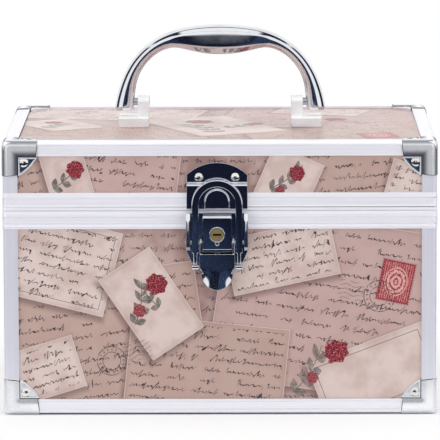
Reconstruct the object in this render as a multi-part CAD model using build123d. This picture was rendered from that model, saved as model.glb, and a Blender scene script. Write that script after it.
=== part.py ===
from build123d import *
import math
import os

# Small framed vanity case: printed panels in aluminium rails, a hinged lid with a folding
# bail handle, a keyed draw latch in front, and two trays inside that rise as the lid opens.
# Millimetres. +X is to the right, the front faces -Y, +Z is up. The origin is on the ground,
# under the middle of the case.

# ---------------------------------------------------------------- overall sizes
CASE_WIDTH = 240.0          # over the corner pieces
CASE_DEPTH = 170.0          # over the corner pieces
BODY_HEIGHT = 114.0         # ground to the top of the body rim
LID_HEIGHT = 38.8           # underside of the lid rim to the top of the lid corners
RIM_GAP = 0.2               # between the closed rims

# ---------------------------------------------------------------- frame
CORNER_SHEET = 0.6          # pressed sheet of the corner pieces
CORNER_RADIUS = 2.5         # rounding over the corner pieces
RAIL_SHEET = 1.2            # aluminium angle of the rails and posts
RAIL_FACE = 8.1             # seen width of the rails and posts
PANEL_THICKNESS = 4.0
LINING_THICKNESS = 0.9
BODY_RIM_HEIGHT = 10.1
LID_RIM_HEIGHT = 9.7
RIM_PROUD = 0.5             # the rims stand out from the rails by this
GROOVE_DEPTH = 0.4
GROOVE_HEIGHT = 0.5
BODY_GROOVES = (0.6, 2.7, 6.1)   # above the foot of the body rim
LID_GROOVES = (1.7, 6.7)         # above the foot of the lid rim

# ---------------------------------------------------------------- corner pieces
CORNER_LEG = 21.0           # along each edge of the case
CORNER_SLANT = 1.0          # the leg's inner edge is shorter by this
WEB_BULGE = 1.2             # how far the web's long edge swells
WEB_DROP = 1.2              # the web lies this deep, on the panel
RIVET_INSET = 12.2          # rivet axis from both edges of the case
RIVET_HEAD_RADIUS = 2.6
RIVET_HEAD_HEIGHT = 1.0
RIVET_SHANK_RADIUS = 1.2
RIVET_GRIP = 3.0            # how deep a shank goes into what it holds

# ---------------------------------------------------------------- fits
RUNNING_CLEARANCE = 0.05    # radial, pin in its hole
OPEN_CLEARANCE = 0.3        # radial, at pivots that only follow
SIDE_CLEARANCE = 0.3        # between moving flat faces

# ---------------------------------------------------------------- rear hinge
HINGE_LENGTH = 198.0
HINGE_SEGMENTS = 9
HINGE_LEAF = 1.0
HINGE_LEAF_HEIGHT = 8.6     # from the pin's height to the leaf's long edge
KNUCKLE_RADIUS = 2.2
HINGE_PIN_RADIUS = 1.2
HINGE_RIVET_RADIUS = 1.5
HINGE_RIVET_HEIGHT = 0.6
HINGE_RIVET_COUNT = 6

# ---------------------------------------------------------------- handle
PIVOT_ABOVE_LID = 11.6      # handle pivot above the top of the corners
HANDLE_PIN_RADIUS = 2.2
HANDLE_PIN_GRIP = 5.8       # how deep the pin goes into the handle's foot
HANDLE_HALF_SPAN = 54.0     # middle of the foot from the middle of the case
HANDLE_RISE = 47.6          # middle of the bar above the lid, at its highest
HANDLE_FOOT_WIDTH = 11.2
HANDLE_GRIP_HALF_DEPTH = 8.0
# Right half of the handle, foot to crown. Each row is one cross-section: share of the half
# span, share of the rise, tilt of its outward side (degrees), thickness as a share of the
# foot's width, half depth as a share of the grip's.
HANDLE_SECTIONS = (
    (1.0, 0.143, 0.0, 1.0, 0.575),
    (0.989, 0.284, 2.0, 0.955, 0.575),
    (0.959, 0.462, 10.0, 0.795, 0.588),
    (0.904, 0.625, 25.0, 0.714, 0.625),
    (0.807, 0.784, 42.0, 0.696, 0.688),
    (0.670, 0.915, 57.0, 0.714, 0.775),
    (0.507, 0.998, 68.0, 0.821, 0.875),
    (0.333, 0.996, 78.0, 1.245, 0.95),
    (0.167, 0.990, 84.0, 1.475, 0.988),
    (0.0, 0.990, 90.0, 1.555, 1.0),
)
# Corners of one cross-section: outward share of the thickness, share of the depth.
HANDLE_FACETS = ((1.0, 0.42), (0.42, 1.0), (-0.35, 1.0), (-1.0, 0.5))

HANDLE_GAP = 1.6            # bracket post to the handle's foot
BRACKET_LENGTH = 17.3
BRACKET_WIDTH = 25.0
BRACKET_ABOVE_LID = 3.4     # base plate above the top of the corners
POST_THICKNESS = 6.6
POST_SKIN = 1.0             # left closed in front of the pin
POST_WIDTH = 10.4
BRACKET_CORNER = 1.5
POST_ABOVE_PIVOT = 3.4
SCREW_RADIUS = 1.5
SCREW_HEAD_RADIUS = 2.7
SCREW_HEAD_HEIGHT = 0.8
SCREW_SPREAD = 14.0         # between the two screws of a bracket
SCREW_INSET = 11.8          # from the bracket's inner face
SCREW_BITE = 3.4            # into the bracket

# ---------------------------------------------------------------- front latch
LATCH_X = -1.5              # the latch sits a little left of the middle
LATCH_SHEET = 1.2
KEEPER_HALF_WIDTH = 16.8
KEEPER_FOOT = 1.0           # keeper's lower edge above the split
KEEPER_SHOULDER = 19.8      # where its straight sides end, above the split
KEEPER_APEX = 26.6
KEEPER_CREASE = 14.0        # where it steps back on to the panel
KEEPER_RIVET_X = 10.0
KEEPER_RIVET_HEIGHT = 18.4
HOOK_HALF_WIDTH = 6.9
HOOK_TOP = 12.2             # hook's arch above the split
HOOK_PROUD = 1.8
KEEPER_RIVET_RADIUS = 2.5
KEEPER_RIVET_PROUD = 1.1
BASE_HALF_WIDTH = 17.2
BASE_TOP = 1.0              # base plate's upper edge below the split
BASE_HEIGHT = 27.7
BASE_TOE = 3.0              # how much narrower the base plate's lower edge is, each side
EAR_SHEET = 2.4
EAR_DEPTH = 5.4
EAR_TAPER = 7.0
EAR_BROW = 2.0              # slope of the ear's upper front corner, along Y
EAR_BROW_DROP = 4.0         # and along Z
EAR_CHIN = 3.0              # slope of its lower front corner, along Y
EAR_CHIN_RISE = 2.0         # and along Z
EAR_ROUND = 1.0             # rounding of its front
HOUSING_HALF_WIDTH = 8.0
HOUSING_HEIGHT = 18.8
HOUSING_CHAMFER = 1.0
HOUSING_TOP = 2.0           # below the split
HOUSING_PROUD = 5.9         # in front of the base plate
HOUSING_WALL = 1.0
PLUG_RADIUS = 3.5
PLUG_BELOW_SPLIT = 12.4
PLUG_LENGTH = 4.4
PLUG_PROUD = 0.4
KEY_SLOT_WIDTH = 1.1
KEY_SLOT_LENGTH = 4.6
KEY_SLOT_DEPTH = 1.5
CAM_REACH = 5.0
CAM_WIDTH = 2.4
CAM_SHEET = 1.0
LEVER_PIVOT_BELOW_SPLIT = 17.5
LEVER_PIVOT_PROUD = 2.3     # pivot axis in front of the rim face
LEVER_PIN_RADIUS = 0.9
LEVER_PIN_END = 0.7         # the pin stands out of the ears by this
LEVER_ARM = 1.3
LEVER_EYE_RADIUS = 2.3
LEVER_NECK = 2.0            # arm's slope below its upper eye
LEVER_HEEL = 1.0            # arm's slope above its lower eye
LEVER_EYE_WALL = 0.3        # lower eye, beyond the bail's own
LEVER_WAIST = 1.8           # how much narrower its waist is than its arms
LEVER_WAIST_DROP = 3.0      # waist below the bail's pivot
LEVER_TOP_BELOW_PIVOT = 5.9
LEVER_END_BELOW_PIVOT = 25.6
LEVER_PLATE_PROUD = 6.1     # front of the lever's plate in front of the rim face
LEVER_END_HALF_WIDTH = 8.8
LEVER_LIP = 2.2             # how far the finger lip curls forward
BAIL_PIVOT_BELOW = 13.6     # bail pivot below the lever pivot
BAIL_PIVOT_BACK = 0.8       # and behind it, which holds the closed latch shut
BAIL_PIN_RADIUS = 0.9
BAIL_SHEET = 1.6
BAIL_PLAY = 0.2             # added to the clearances beside and behind the bail
BAIL_BAND = 3.9
BAIL_LEG_INSET = 0.9        # its legs are narrower than the band by this, each side
BAIL_APEX = 17.5            # outer arch above the split
BAIL_EYE_RADIUS = 1.6
BAIL_BEND_BELOW = 23.0      # where the legs bend back, below the split
LATCH_RIVET_X = 11.8
LATCH_RIVET_BELOW = 4.6
LATCH_LOW_RIVET_BELOW = 25.1
LATCH_RIVET_RADIUS = 1.9
LATCH_RIVET_HEIGHT = 1.0

# ---------------------------------------------------------------- trays and their arms
ARM_LENGTH = 69.5           # arm pivot to the upper tray's pivot
ARM_REST_ANGLE = 160.0      # from +Y towards +Z, lid closed
ARM_WIDTH = 8.0
ARM_SHEET = 1.5
ARM_SPACING = 40.0          # between the front and rear arm pivots
REAR_ARM_Y = 45.0
ARM_PIVOT_DROP = 40.0       # arm pivots below the body's rim
LINK_GAP = 0.5              # between the arms and the drag links
STUD_RADIUS = 1.6
STUD_HEAD_RADIUS = 2.8
STUD_HEAD_SHEET = 0.6
STUD_COLLAR_RADIUS = 3.2
STUD_SHOULDER = 0.2         # play between a collar and the arm
TRAY_END_GAP = 6.5          # tray end to the lining
TRAY_WALL = 1.2
TRAY_DEPTH = 78.0
TRAY_HEIGHT = 25.0
TRAY_CORNER = 3.0
UPPER_TRAY_FRONT_GAP = 0.8  # to the lining
UPPER_TRAY_DROP = 23.0      # its underside below the body's rim
LOWER_TRAY_SETBACK = 13.0   # behind the upper tray
LOWER_TRAY_DROP = 26.0      # below the upper tray
UPPER_DIVIDERS = (-35.0, 35.0)
LOWER_DIVIDERS = (0.0,)
DIVIDER_DROP = 3.0          # dividers end this far below the tray's edge

# ---------------------------------------------------------------- mirror
MIRROR_WIDTH = 176.0
MIRROR_DEPTH = 104.0
MIRROR_THICKNESS = 2.0
MIRROR_CORNER = 4.0
CLIP_LENGTH = 12.0
CLIP_WIDTH = 6.0
CLIP_LIP = 2.0
CLIP_SHEET = 0.8

# ---------------------------------------------------------------- worked out from the above
RAIL_HALF_X = CASE_WIDTH / 2 - CORNER_SHEET
RAIL_HALF_Y = CASE_DEPTH / 2 - CORNER_SHEET
PANEL_HALF_X = RAIL_HALF_X - RAIL_SHEET
PANEL_HALF_Y = RAIL_HALF_Y - RAIL_SHEET
BOARD_HALF_X = PANEL_HALF_X - PANEL_THICKNESS
BOARD_HALF_Y = PANEL_HALF_Y - PANEL_THICKNESS
INSIDE_HALF_X = BOARD_HALF_X - LINING_THICKNESS
INSIDE_HALF_Y = BOARD_HALF_Y - LINING_THICKNESS
WINDOW_HALF_X = RAIL_HALF_X - RAIL_FACE
WINDOW_HALF_Y = RAIL_HALF_Y - RAIL_FACE
RIM_HALF_X = RAIL_HALF_X + RIM_PROUD
RIM_HALF_Y = RAIL_HALF_Y + RIM_PROUD
INNER_RADIUS = CORNER_RADIUS - CORNER_SHEET

SPLIT_Z = BODY_HEIGHT + RIM_GAP / 2
LID_FOOT_Z = BODY_HEIGHT + RIM_GAP
LID_TOP_Z = LID_FOOT_Z + LID_HEIGHT
RAIL_LOW_Z = CORNER_SHEET
RAIL_HIGH_Z = LID_TOP_Z - CORNER_SHEET
PANEL_LOW_Z = RAIL_LOW_Z + RAIL_SHEET
PANEL_HIGH_Z = RAIL_HIGH_Z - RAIL_SHEET
BOARD_LOW_Z = PANEL_LOW_Z + PANEL_THICKNESS
BOARD_HIGH_Z = PANEL_HIGH_Z - PANEL_THICKNESS
FLOOR_Z = BOARD_LOW_Z + LINING_THICKNESS
CEILING_Z = BOARD_HIGH_Z - LINING_THICKNESS
BODY_RIM_Z = BODY_HEIGHT - BODY_RIM_HEIGHT
LID_RIM_TOP_Z = LID_FOOT_Z + LID_RIM_HEIGHT
BAND = RAIL_FACE + CORNER_SHEET          # corner band, seen from outside
SINK = CORNER_SHEET + RAIL_SHEET         # panel face below the corner's face

ARM_PIVOT_Z = BODY_HEIGHT - ARM_PIVOT_DROP
UPPER_TRAY_Z = BODY_HEIGHT - UPPER_TRAY_DROP

FRONT_Y = -RIM_HALF_Y                    # rim face that the latch sits on
PANEL_FRONT_Y = -PANEL_HALF_Y

HINGE_Y = RIM_HALF_Y + KNUCKLE_RADIUS + SIDE_CLEARANCE
HINGE_Z = SPLIT_Z

ARM_DIRECTION = Vector(0, math.cos(math.radians(ARM_REST_ANGLE)), math.sin(math.radians(ARM_REST_ANGLE)))
ARM_PIVOTS = {
    "front": Vector(0, REAR_ARM_Y - ARM_SPACING, ARM_PIVOT_Z),
    "rear": Vector(0, REAR_ARM_Y, ARM_PIVOT_Z),
}
LINK_VECTOR = Vector(0, HINGE_Y, HINGE_Z) - ARM_PIVOTS["rear"]
TRAY_HALF_X = INSIDE_HALF_X - TRAY_END_GAP
HANDLE_INNER_X = HANDLE_HALF_SPAN - HANDLE_FOOT_WIDTH / 2
BRACKET_INNER_X = HANDLE_INNER_X - HANDLE_GAP - POST_THICKNESS   # inner face of each bracket
SCREW_X = BRACKET_INNER_X + SCREW_INSET
ARM_X = TRAY_HALF_X + ARM_SHEET          # inner face of the arms
LINK_X = ARM_X + ARM_SHEET + LINK_GAP    # inner face of the drag links
UPPER_TRAY_Y = -INSIDE_HALF_Y + UPPER_TRAY_FRONT_GAP
LOWER_TRAY_Y = UPPER_TRAY_Y + LOWER_TRAY_SETBACK
LOWER_TRAY_Z = UPPER_TRAY_Z - LOWER_TRAY_DROP

FAR = 2 * (CASE_WIDTH + CASE_DEPTH)      # longer than anything it cuts
TOUCHING = 1e-6                          # points this close are the same point

PIECES = {}


def keep(name, *shapes):
    """Adds solids to the sub-part of that name."""
    PIECES.setdefault(name, []).extend(solid for shape in shapes for solid in shape.solids())


# ---------------------------------------------------------------- plain shapes
def block(x0, x1, y0, y1, z0, z1):
    return Pos((x0 + x1) / 2, (y0 + y1) / 2, (z0 + z1) / 2) * Box(x1 - x0, y1 - y0, z1 - z0)


def slab(half_x, half_y, z0, z1, radius=0.0):
    outline = RectangleRounded(2 * half_x, 2 * half_y, radius) if radius else Rectangle(2 * half_x, 2 * half_y)
    return Pos(0, 0, z0) * extrude(outline, z1 - z0)


def rod_x(x0, x1, y, z, radius):
    """Round bar along X."""
    return Pos((x0 + x1) / 2, y, z) * Rot(0, 90, 0) * Cylinder(radius, x1 - x0)


def rod_y(y0, y1, x, z, radius):
    """Round bar along Y."""
    return Pos(x, (y0 + y1) / 2, z) * Rot(90, 0, 0) * Cylinder(radius, y1 - y0)


def plate_yz(points, x0, x1):
    """Outline of (y, z) points, extruded from x0 to x1."""
    return extrude(Plane.YZ.offset(x0) * make_face(Polyline(*points, close=True)), x1 - x0)


def plate_xz(face, y0, y1):
    """Flat (x, z) face, extruded from y0 back to y1."""
    return extrude(Plane.XZ.offset(-y1) * face, y1 - y0)


def both_sides(shape):
    return [shape, mirror(shape, about=Plane.YZ)]


def domed_rivet(radius, height, shank, depth):
    """Rivet on +Z: the head's seat at z = 0, the shank below it."""
    ball = (radius ** 2 + height ** 2) / (2 * height)
    cap = Pos(0, 0, height - ball) * Sphere(ball) & Pos(0, 0, height / 2) * Cylinder(radius + 1, height)
    return cap + Pos(0, 0, -depth / 2) * Cylinder(shank, depth)


def mitred(frame, half_x, half_y):
    """Cuts a rectangular frame into four bars that meet at 45 degrees."""
    reach = min(half_x, half_y) / 2
    corners = [(-half_x, -half_y), (half_x, -half_y), (half_x, half_y), (-half_x, half_y)]
    inner = [(x - math.copysign(reach, x), y - math.copysign(reach, y)) for x, y in corners]
    bars = []
    for i in range(4):
        j = (i + 1) % 4
        wedge = make_face(Polyline(corners[i], corners[j], inner[j], inner[i], close=True))
        bars.append(frame & Pos(0, 0, -FAR / 2) * extrude(wedge, FAR))
    return bars


# ---------------------------------------------------------------- rails, posts and rims
def frame_shell():
    """Skin of the whole case that the rails and posts are cut from."""
    middle = (RAIL_LOW_Z + RAIL_HIGH_Z) / 2
    skin = Pos(0, 0, middle) * Box(2 * RAIL_HALF_X, 2 * RAIL_HALF_Y, RAIL_HIGH_Z - RAIL_LOW_Z)
    skin = fillet(skin.edges(), INNER_RADIUS)
    skin -= slab(PANEL_HALF_X, PANEL_HALF_Y, PANEL_LOW_Z, PANEL_HIGH_Z)
    return skin - slab(WINDOW_HALF_X, WINDOW_HALF_Y, -FAR, FAR)


def make_rails_and_posts():
    shell = frame_shell()
    bottom_top = RAIL_LOW_Z + RAIL_FACE
    top_foot = RAIL_HIGH_Z - RAIL_FACE
    keep("bottom_edge_rails", *mitred(shell & slab(FAR, FAR, 0, bottom_top), RAIL_HALF_X, RAIL_HALF_Y))
    keep("top_edge_rails", *mitred(shell & slab(FAR, FAR, top_foot, LID_TOP_Z), RAIL_HALF_X, RAIL_HALF_Y))
    windows = slab(WINDOW_HALF_X, FAR, -FAR, FAR) + slab(FAR, WINDOW_HALF_Y, -FAR, FAR)
    posts = shell - windows
    keep("body_corner_posts", posts & slab(FAR, FAR, bottom_top, BODY_RIM_Z))
    keep("lid_corner_posts", posts & slab(FAR, FAR, LID_RIM_TOP_Z, top_foot))


def rim_frame(z0, z1, grooves):
    frame = slab(RIM_HALF_X, RIM_HALF_Y, z0, z1, CORNER_RADIUS) - slab(INSIDE_HALF_X, INSIDE_HALF_Y, z0, z1)
    core = (RIM_HALF_X - GROOVE_DEPTH, RIM_HALF_Y - GROOVE_DEPTH)
    for height in grooves:
        low = z0 + height
        high = low + GROOVE_HEIGHT
        frame -= slab(FAR, FAR, low, high) - slab(*core, low, high, CORNER_RADIUS - GROOVE_DEPTH)
    return frame


# ---------------------------------------------------------------- panels and lining
def make_panels():
    panels = {
        "body_bottom_panel": slab(PANEL_HALF_X, PANEL_HALF_Y, PANEL_LOW_Z, BOARD_LOW_Z),
        "lid_top_panel": slab(PANEL_HALF_X, PANEL_HALF_Y, BOARD_HIGH_Z, PANEL_HIGH_Z),
    }
    for part, low, high in (("body", BOARD_LOW_Z, BODY_RIM_Z), ("lid", LID_RIM_TOP_Z, BOARD_HIGH_Z)):
        panels[part + "_front_panel"] = block(-PANEL_HALF_X, PANEL_HALF_X, -PANEL_HALF_Y, -BOARD_HALF_Y, low, high)
        panels[part + "_rear_panel"] = block(-PANEL_HALF_X, PANEL_HALF_X, BOARD_HALF_Y, PANEL_HALF_Y, low, high)
        panels[part + "_left_panel"] = block(-PANEL_HALF_X, -BOARD_HALF_X, -BOARD_HALF_Y, BOARD_HALF_Y, low, high)
        panels[part + "_right_panel"] = block(BOARD_HALF_X, PANEL_HALF_X, -BOARD_HALF_Y, BOARD_HALF_Y, low, high)
    return panels


def lining(outer_z, inner_z, mouth_z):
    """Thin lining of a shell: its closed end at outer_z, its mouth at the rim."""
    outer = slab(BOARD_HALF_X, BOARD_HALF_Y, min(outer_z, mouth_z), max(outer_z, mouth_z))
    return outer - slab(INSIDE_HALF_X, INSIDE_HALF_Y, min(inner_z, mouth_z), max(inner_z, mouth_z))


# ---------------------------------------------------------------- corner pieces
def corner_outline():
    """Outer outline of a corner piece on one face, the case's corner at the origin."""
    toe = CORNER_LEG - CORNER_SLANT
    middle = (toe + BAND) / 2 + WEB_BULGE / math.sqrt(2)
    edges = [
        Polyline((BAND, toe), (0, CORNER_LEG), (0, 0), (CORNER_LEG, 0), (toe, BAND)),
        ThreePointArc((toe, BAND), (middle, middle), (BAND, toe)),
    ]
    return make_face(edges)


def rounded_octant(start, end, radius):
    """Cube from start to end on each axis, the three edges that meet at its start rounded."""
    cube = block(start, end, start, end, start, end)
    corner = Vector(start, start, start)
    near = [e for e in cube.edges() if min((e @ 0 - corner).length, (e @ 1 - corner).length) < TOUCHING]
    return fillet(near, radius)


def corner_piece():
    """Pressed corner in its own octant: faces at x = 0, y = 0 and z = 0."""
    size = CORNER_LEG + 2 * SINK
    outer = rounded_octant(0, size, CORNER_RADIUS)
    inner = rounded_octant(CORNER_SHEET, 2 * size, INNER_RADIUS)
    outline = corner_outline()
    step = BAND + CORNER_SHEET
    band = outline - Pos(size / 2 + step, size / 2 + step) * Rectangle(size, size)
    web = outline & Pos(size / 2 + BAND, size / 2 + BAND) * Rectangle(size, size)
    wall = band & Pos(size / 2 + BAND, size / 2 + BAND) * Rectangle(size, size)
    skin = None
    fittings = None
    for plane in (Plane.XY, Plane.YZ, Plane.ZX):
        prism = extrude(plane * band, CORNER_RADIUS)
        skin = prism if skin is None else skin + prism
        flat = extrude(plane.offset(WEB_DROP) * web, SINK - WEB_DROP) + extrude(plane * wall, SINK)
        fittings = flat if fittings is None else fittings + flat
    return (outer - inner & skin) + fittings


def corner_rivets():
    """The three rivets of one corner piece, in the same octant."""
    rivet = domed_rivet(RIVET_HEAD_RADIUS, RIVET_HEAD_HEIGHT, RIVET_SHANK_RADIUS, SINK - WEB_DROP + RIVET_GRIP)
    flipped = Rot(180, 0, 0) * rivet
    spots = (Plane.XY, Plane.YZ, Plane.ZX)
    return [plane.offset(WEB_DROP) * Pos(RIVET_INSET, RIVET_INSET, 0) * flipped for plane in spots]


def place_in_corner(shape, side_x, side_y, top):
    """Moves a shape from the corner's octant to one corner of the case."""
    shape = Pos(-CASE_WIDTH / 2, -CASE_DEPTH / 2, 0) * shape
    if top:
        shape = mirror(shape, about=Plane.XY.offset(LID_TOP_Z / 2))
    if side_x > 0:
        shape = mirror(shape, about=Plane.YZ)
    if side_y > 0:
        shape = mirror(shape, about=Plane.XZ)
    return shape


def make_corners():
    """Eight corner pieces with their rivets. Returns the rivets of the body and of the lid."""
    rivets = corner_rivets()
    piece = corner_piece()
    for rivet in rivets:
        piece -= rivet
    rivet_sets = {"body": [], "lid": []}
    for side_x, word_x in ((-1, "left"), (1, "right")):
        for side_y, word_y in ((-1, "front"), (1, "rear")):
            for top, word_z, part in ((False, "bottom", "body"), (True, "top", "lid")):
                keep(f"corner_{word_z}_{word_y}_{word_x}", place_in_corner(piece, side_x, side_y, top))
                rivet_sets[part] += [place_in_corner(rivet, side_x, side_y, top) for rivet in rivets]
    keep("body_corner_rivets", *rivet_sets["body"])
    keep("lid_corner_rivets", *rivet_sets["lid"])
    return rivet_sets


# ---------------------------------------------------------------- rear hinge
def knuckle_spans(part):
    """Start and end of each knuckle along X: the body has the even ones, the lid the odd."""
    pitch = HINGE_LENGTH / HINGE_SEGMENTS
    first = 0 if part == "body" else 1
    spans = []
    for i in range(first, HINGE_SEGMENTS, 2):
        start = -HINGE_LENGTH / 2 + i * pitch
        spans.append((start + SIDE_CLEARANCE / 2, start + pitch - SIDE_CLEARANCE / 2))
    return spans


def hinge_rivets(direction):
    pitch = HINGE_LENGTH / HINGE_RIVET_COUNT
    z = HINGE_Z + direction * (HINGE_LEAF_HEIGHT - 2 * HINGE_RIVET_RADIUS)
    depth = HINGE_LEAF + RIVET_GRIP
    rivet = domed_rivet(HINGE_RIVET_RADIUS, HINGE_RIVET_HEIGHT, HINGE_RIVET_RADIUS / 2, depth)
    seat = RIM_HALF_Y + HINGE_LEAF
    return [
        Pos(-HINGE_LENGTH / 2 + (i + 0.5) * pitch, seat, z) * Rot(-90, 0, 0) * rivet
        for i in range(HINGE_RIVET_COUNT)
    ]


def hinge_leaf(part, other, direction):
    half = HINGE_LENGTH / 2
    low, high = sorted((HINGE_Z, HINGE_Z + direction * HINGE_LEAF_HEIGHT))
    leaf = block(-half, half, RIM_HALF_Y, RIM_HALF_Y + HINGE_LEAF, low, high)
    for x0, x1 in knuckle_spans(other):
        room = KNUCKLE_RADIUS + SIDE_CLEARANCE
        leaf -= rod_x(x0 - SIDE_CLEARANCE, x1 + SIDE_CLEARANCE, HINGE_Y, HINGE_Z, room)
    for x0, x1 in knuckle_spans(part):
        leaf += rod_x(x0, x1, HINGE_Y, HINGE_Z, KNUCKLE_RADIUS)
    return leaf - rod_x(-half, half, HINGE_Y, HINGE_Z, HINGE_PIN_RADIUS + RUNNING_CLEARANCE)


def make_hinge():
    """Piano hinge. Returns the rivets that hold each leaf."""
    rivets = {"body": hinge_rivets(-1), "lid": hinge_rivets(1)}
    for part, other, direction in (("body", "lid", -1), ("lid", "body", 1)):
        leaf = hinge_leaf(part, other, direction)
        for rivet in rivets[part]:
            leaf -= rivet
        keep("hinge_leaf_" + part, leaf)
        keep("hinge_rivets_" + part, *rivets[part])
    keep("hinge_pin", rod_x(-HINGE_LENGTH / 2, HINGE_LENGTH / 2, HINGE_Y, HINGE_Z, HINGE_PIN_RADIUS))
    return rivets


# ---------------------------------------------------------------- handle
def handle_section(along, up, tilt, thick, deep, side):
    """One faceted cross-section of the handle, on its own plane, from a row of shares."""
    thickness = thick * HANDLE_FOOT_WIDTH
    half_depth = deep * HANDLE_GRIP_HALF_DEPTH
    outward = Vector(math.cos(math.radians(tilt)), 0, math.sin(math.radians(tilt)))
    middle = Vector(along * HANDLE_HALF_SPAN, 0, LID_TOP_Z + up * HANDLE_RISE)
    half = [(o * thickness / 2, d * half_depth) for o, d in HANDLE_FACETS]
    ring = half + [(o, -d) for o, d in reversed(half)]
    points = [middle + outward * o + Vector(0, d, 0) for o, d in ring]
    if side < 0:
        points = [Vector(-p.X, p.Y, p.Z) for p in points]
    return Face(Wire.make_polygon(points, close=True))


def make_handle():
    pivot_z = LID_TOP_Z + PIVOT_ABOVE_LID
    right = [handle_section(*row, 1) for row in HANDLE_SECTIONS]
    left = [handle_section(*row, -1) for row in reversed(HANDLE_SECTIONS[:-1])]
    bar = loft(right + left)
    pin_end = HANDLE_INNER_X + HANDLE_PIN_GRIP
    pin = rod_x(BRACKET_INNER_X + POST_SKIN, pin_end, 0, pivot_z, HANDLE_PIN_RADIUS)
    hole_end = pin_end + SIDE_CLEARANCE
    hole = rod_x(BRACKET_INNER_X, hole_end, 0, pivot_z, HANDLE_PIN_RADIUS + RUNNING_CLEARANCE)
    for cut in both_sides(hole):
        bar -= cut
    keep("handle", bar)
    keep("handle_pins", *both_sides(pin))
    return pin


def make_brackets(pin):
    """L brackets under the handle's feet. Returns the screws that hold them from inside."""
    pivot_z = LID_TOP_Z + PIVOT_ABOVE_LID
    inner = BRACKET_INNER_X
    half = BRACKET_WIDTH / 2
    base = block(inner, inner + BRACKET_LENGTH, -half, half, PANEL_HIGH_Z, LID_TOP_Z + BRACKET_ABOVE_LID)
    base = fillet(base.edges().filter_by(Axis.Z), BRACKET_CORNER)
    post_top = pivot_z + POST_ABOVE_PIVOT
    post = block(inner, inner + POST_THICKNESS, -POST_WIDTH / 2, POST_WIDTH / 2, PANEL_HIGH_Z, post_top)
    post = fillet(post.edges().filter_by(Axis.X).sort_by(Axis.Z)[-2:], POST_WIDTH / 3)
    bracket = base + post - pin
    screws = []
    for y in (-SCREW_SPREAD / 2, SCREW_SPREAD / 2):
        shank_top = PANEL_HIGH_Z + SCREW_BITE
        shank = Pos(SCREW_X, y, (BOARD_HIGH_Z + shank_top) / 2) * Cylinder(SCREW_RADIUS, shank_top - BOARD_HIGH_Z)
        head = Pos(SCREW_X, y, BOARD_HIGH_Z - SCREW_HEAD_HEIGHT / 2) * Cylinder(SCREW_HEAD_RADIUS, SCREW_HEAD_HEIGHT)
        screws.append(shank + head)
        bracket -= shank
    left, right = mirror(bracket, about=Plane.YZ), bracket
    keep("handle_bracket_left", left)
    keep("handle_bracket_right", right)
    screws += [mirror(screw, about=Plane.YZ) for screw in screws]
    keep("bracket_screws", *screws)
    return screws


# ---------------------------------------------------------------- front latch
def on_latch(shapes):
    """Moves shapes drawn on the middle line to where the latch sits."""
    return [Pos(LATCH_X, 0, 0) * shape for shape in shapes]


def arch_face(half_width, foot, apex):
    """Straight-sided face from foot up to a half-round top."""
    spring = apex - half_width
    edges = [
        Polyline((half_width, spring), (half_width, foot), (-half_width, foot), (-half_width, spring)),
        ThreePointArc((-half_width, spring), (0, apex), (half_width, spring)),
    ]
    return make_face(edges)


def rivet_at(x, z, seat_y, radius, height, depth):
    """Domed rivet on the front, its head's seat at seat_y."""
    return Pos(x, seat_y, z) * Rot(90, 0, 0) * domed_rivet(radius, height, RIVET_SHANK_RADIUS, depth)


def make_keeper():
    """Plate on the lid with the hook that the bail goes over. Returns its rivets."""
    foot = SPLIT_Z + KEEPER_FOOT
    shoulder = SPLIT_Z + KEEPER_SHOULDER
    apex = SPLIT_Z + KEEPER_APEX
    crease = SPLIT_Z + KEEPER_CREASE
    half = KEEPER_HALF_WIDTH
    outline = make_face([
        Polyline((half, shoulder), (half, foot), (-half, foot), (-half, shoulder)),
        ThreePointArc((-half, shoulder), (0, apex), (half, shoulder)),
    ])
    step = FRONT_Y - PANEL_FRONT_Y
    profile = [
        (FRONT_Y, foot), (FRONT_Y, crease - LATCH_SHEET / 2), (PANEL_FRONT_Y, crease - step - LATCH_SHEET / 2),
        (PANEL_FRONT_Y, apex + 1), (PANEL_FRONT_Y - LATCH_SHEET, apex + 1),
        (PANEL_FRONT_Y - LATCH_SHEET, crease - step), (FRONT_Y - LATCH_SHEET, crease),
        (FRONT_Y - LATCH_SHEET, foot),
    ]
    plate = plate_yz(profile, -half, half) & plate_xz(outline, FRONT_Y - FAR, FRONT_Y + FAR)
    face_y = FRONT_Y - LATCH_SHEET
    hook = plate_xz(arch_face(HOOK_HALF_WIDTH, foot, SPLIT_Z + HOOK_TOP), face_y - HOOK_PROUD, face_y)
    hook = fillet(hook.faces().sort_by(Axis.Y)[0].edges(), HOOK_PROUD / 2)
    rivets = [
        rivet_at(x, SPLIT_Z + KEEPER_RIVET_HEIGHT, PANEL_FRONT_Y - LATCH_SHEET, KEEPER_RIVET_RADIUS,
                 KEEPER_RIVET_PROUD, LATCH_SHEET + RIVET_GRIP)
        for x in (-KEEPER_RIVET_X, KEEPER_RIVET_X)
    ]
    keeper = plate + hook
    for rivet in rivets:
        keeper -= rivet
    rivets = on_latch(rivets)
    keep("latch_keeper", *on_latch([keeper]))
    keep("keeper_rivets", *rivets)
    return rivets


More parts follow.
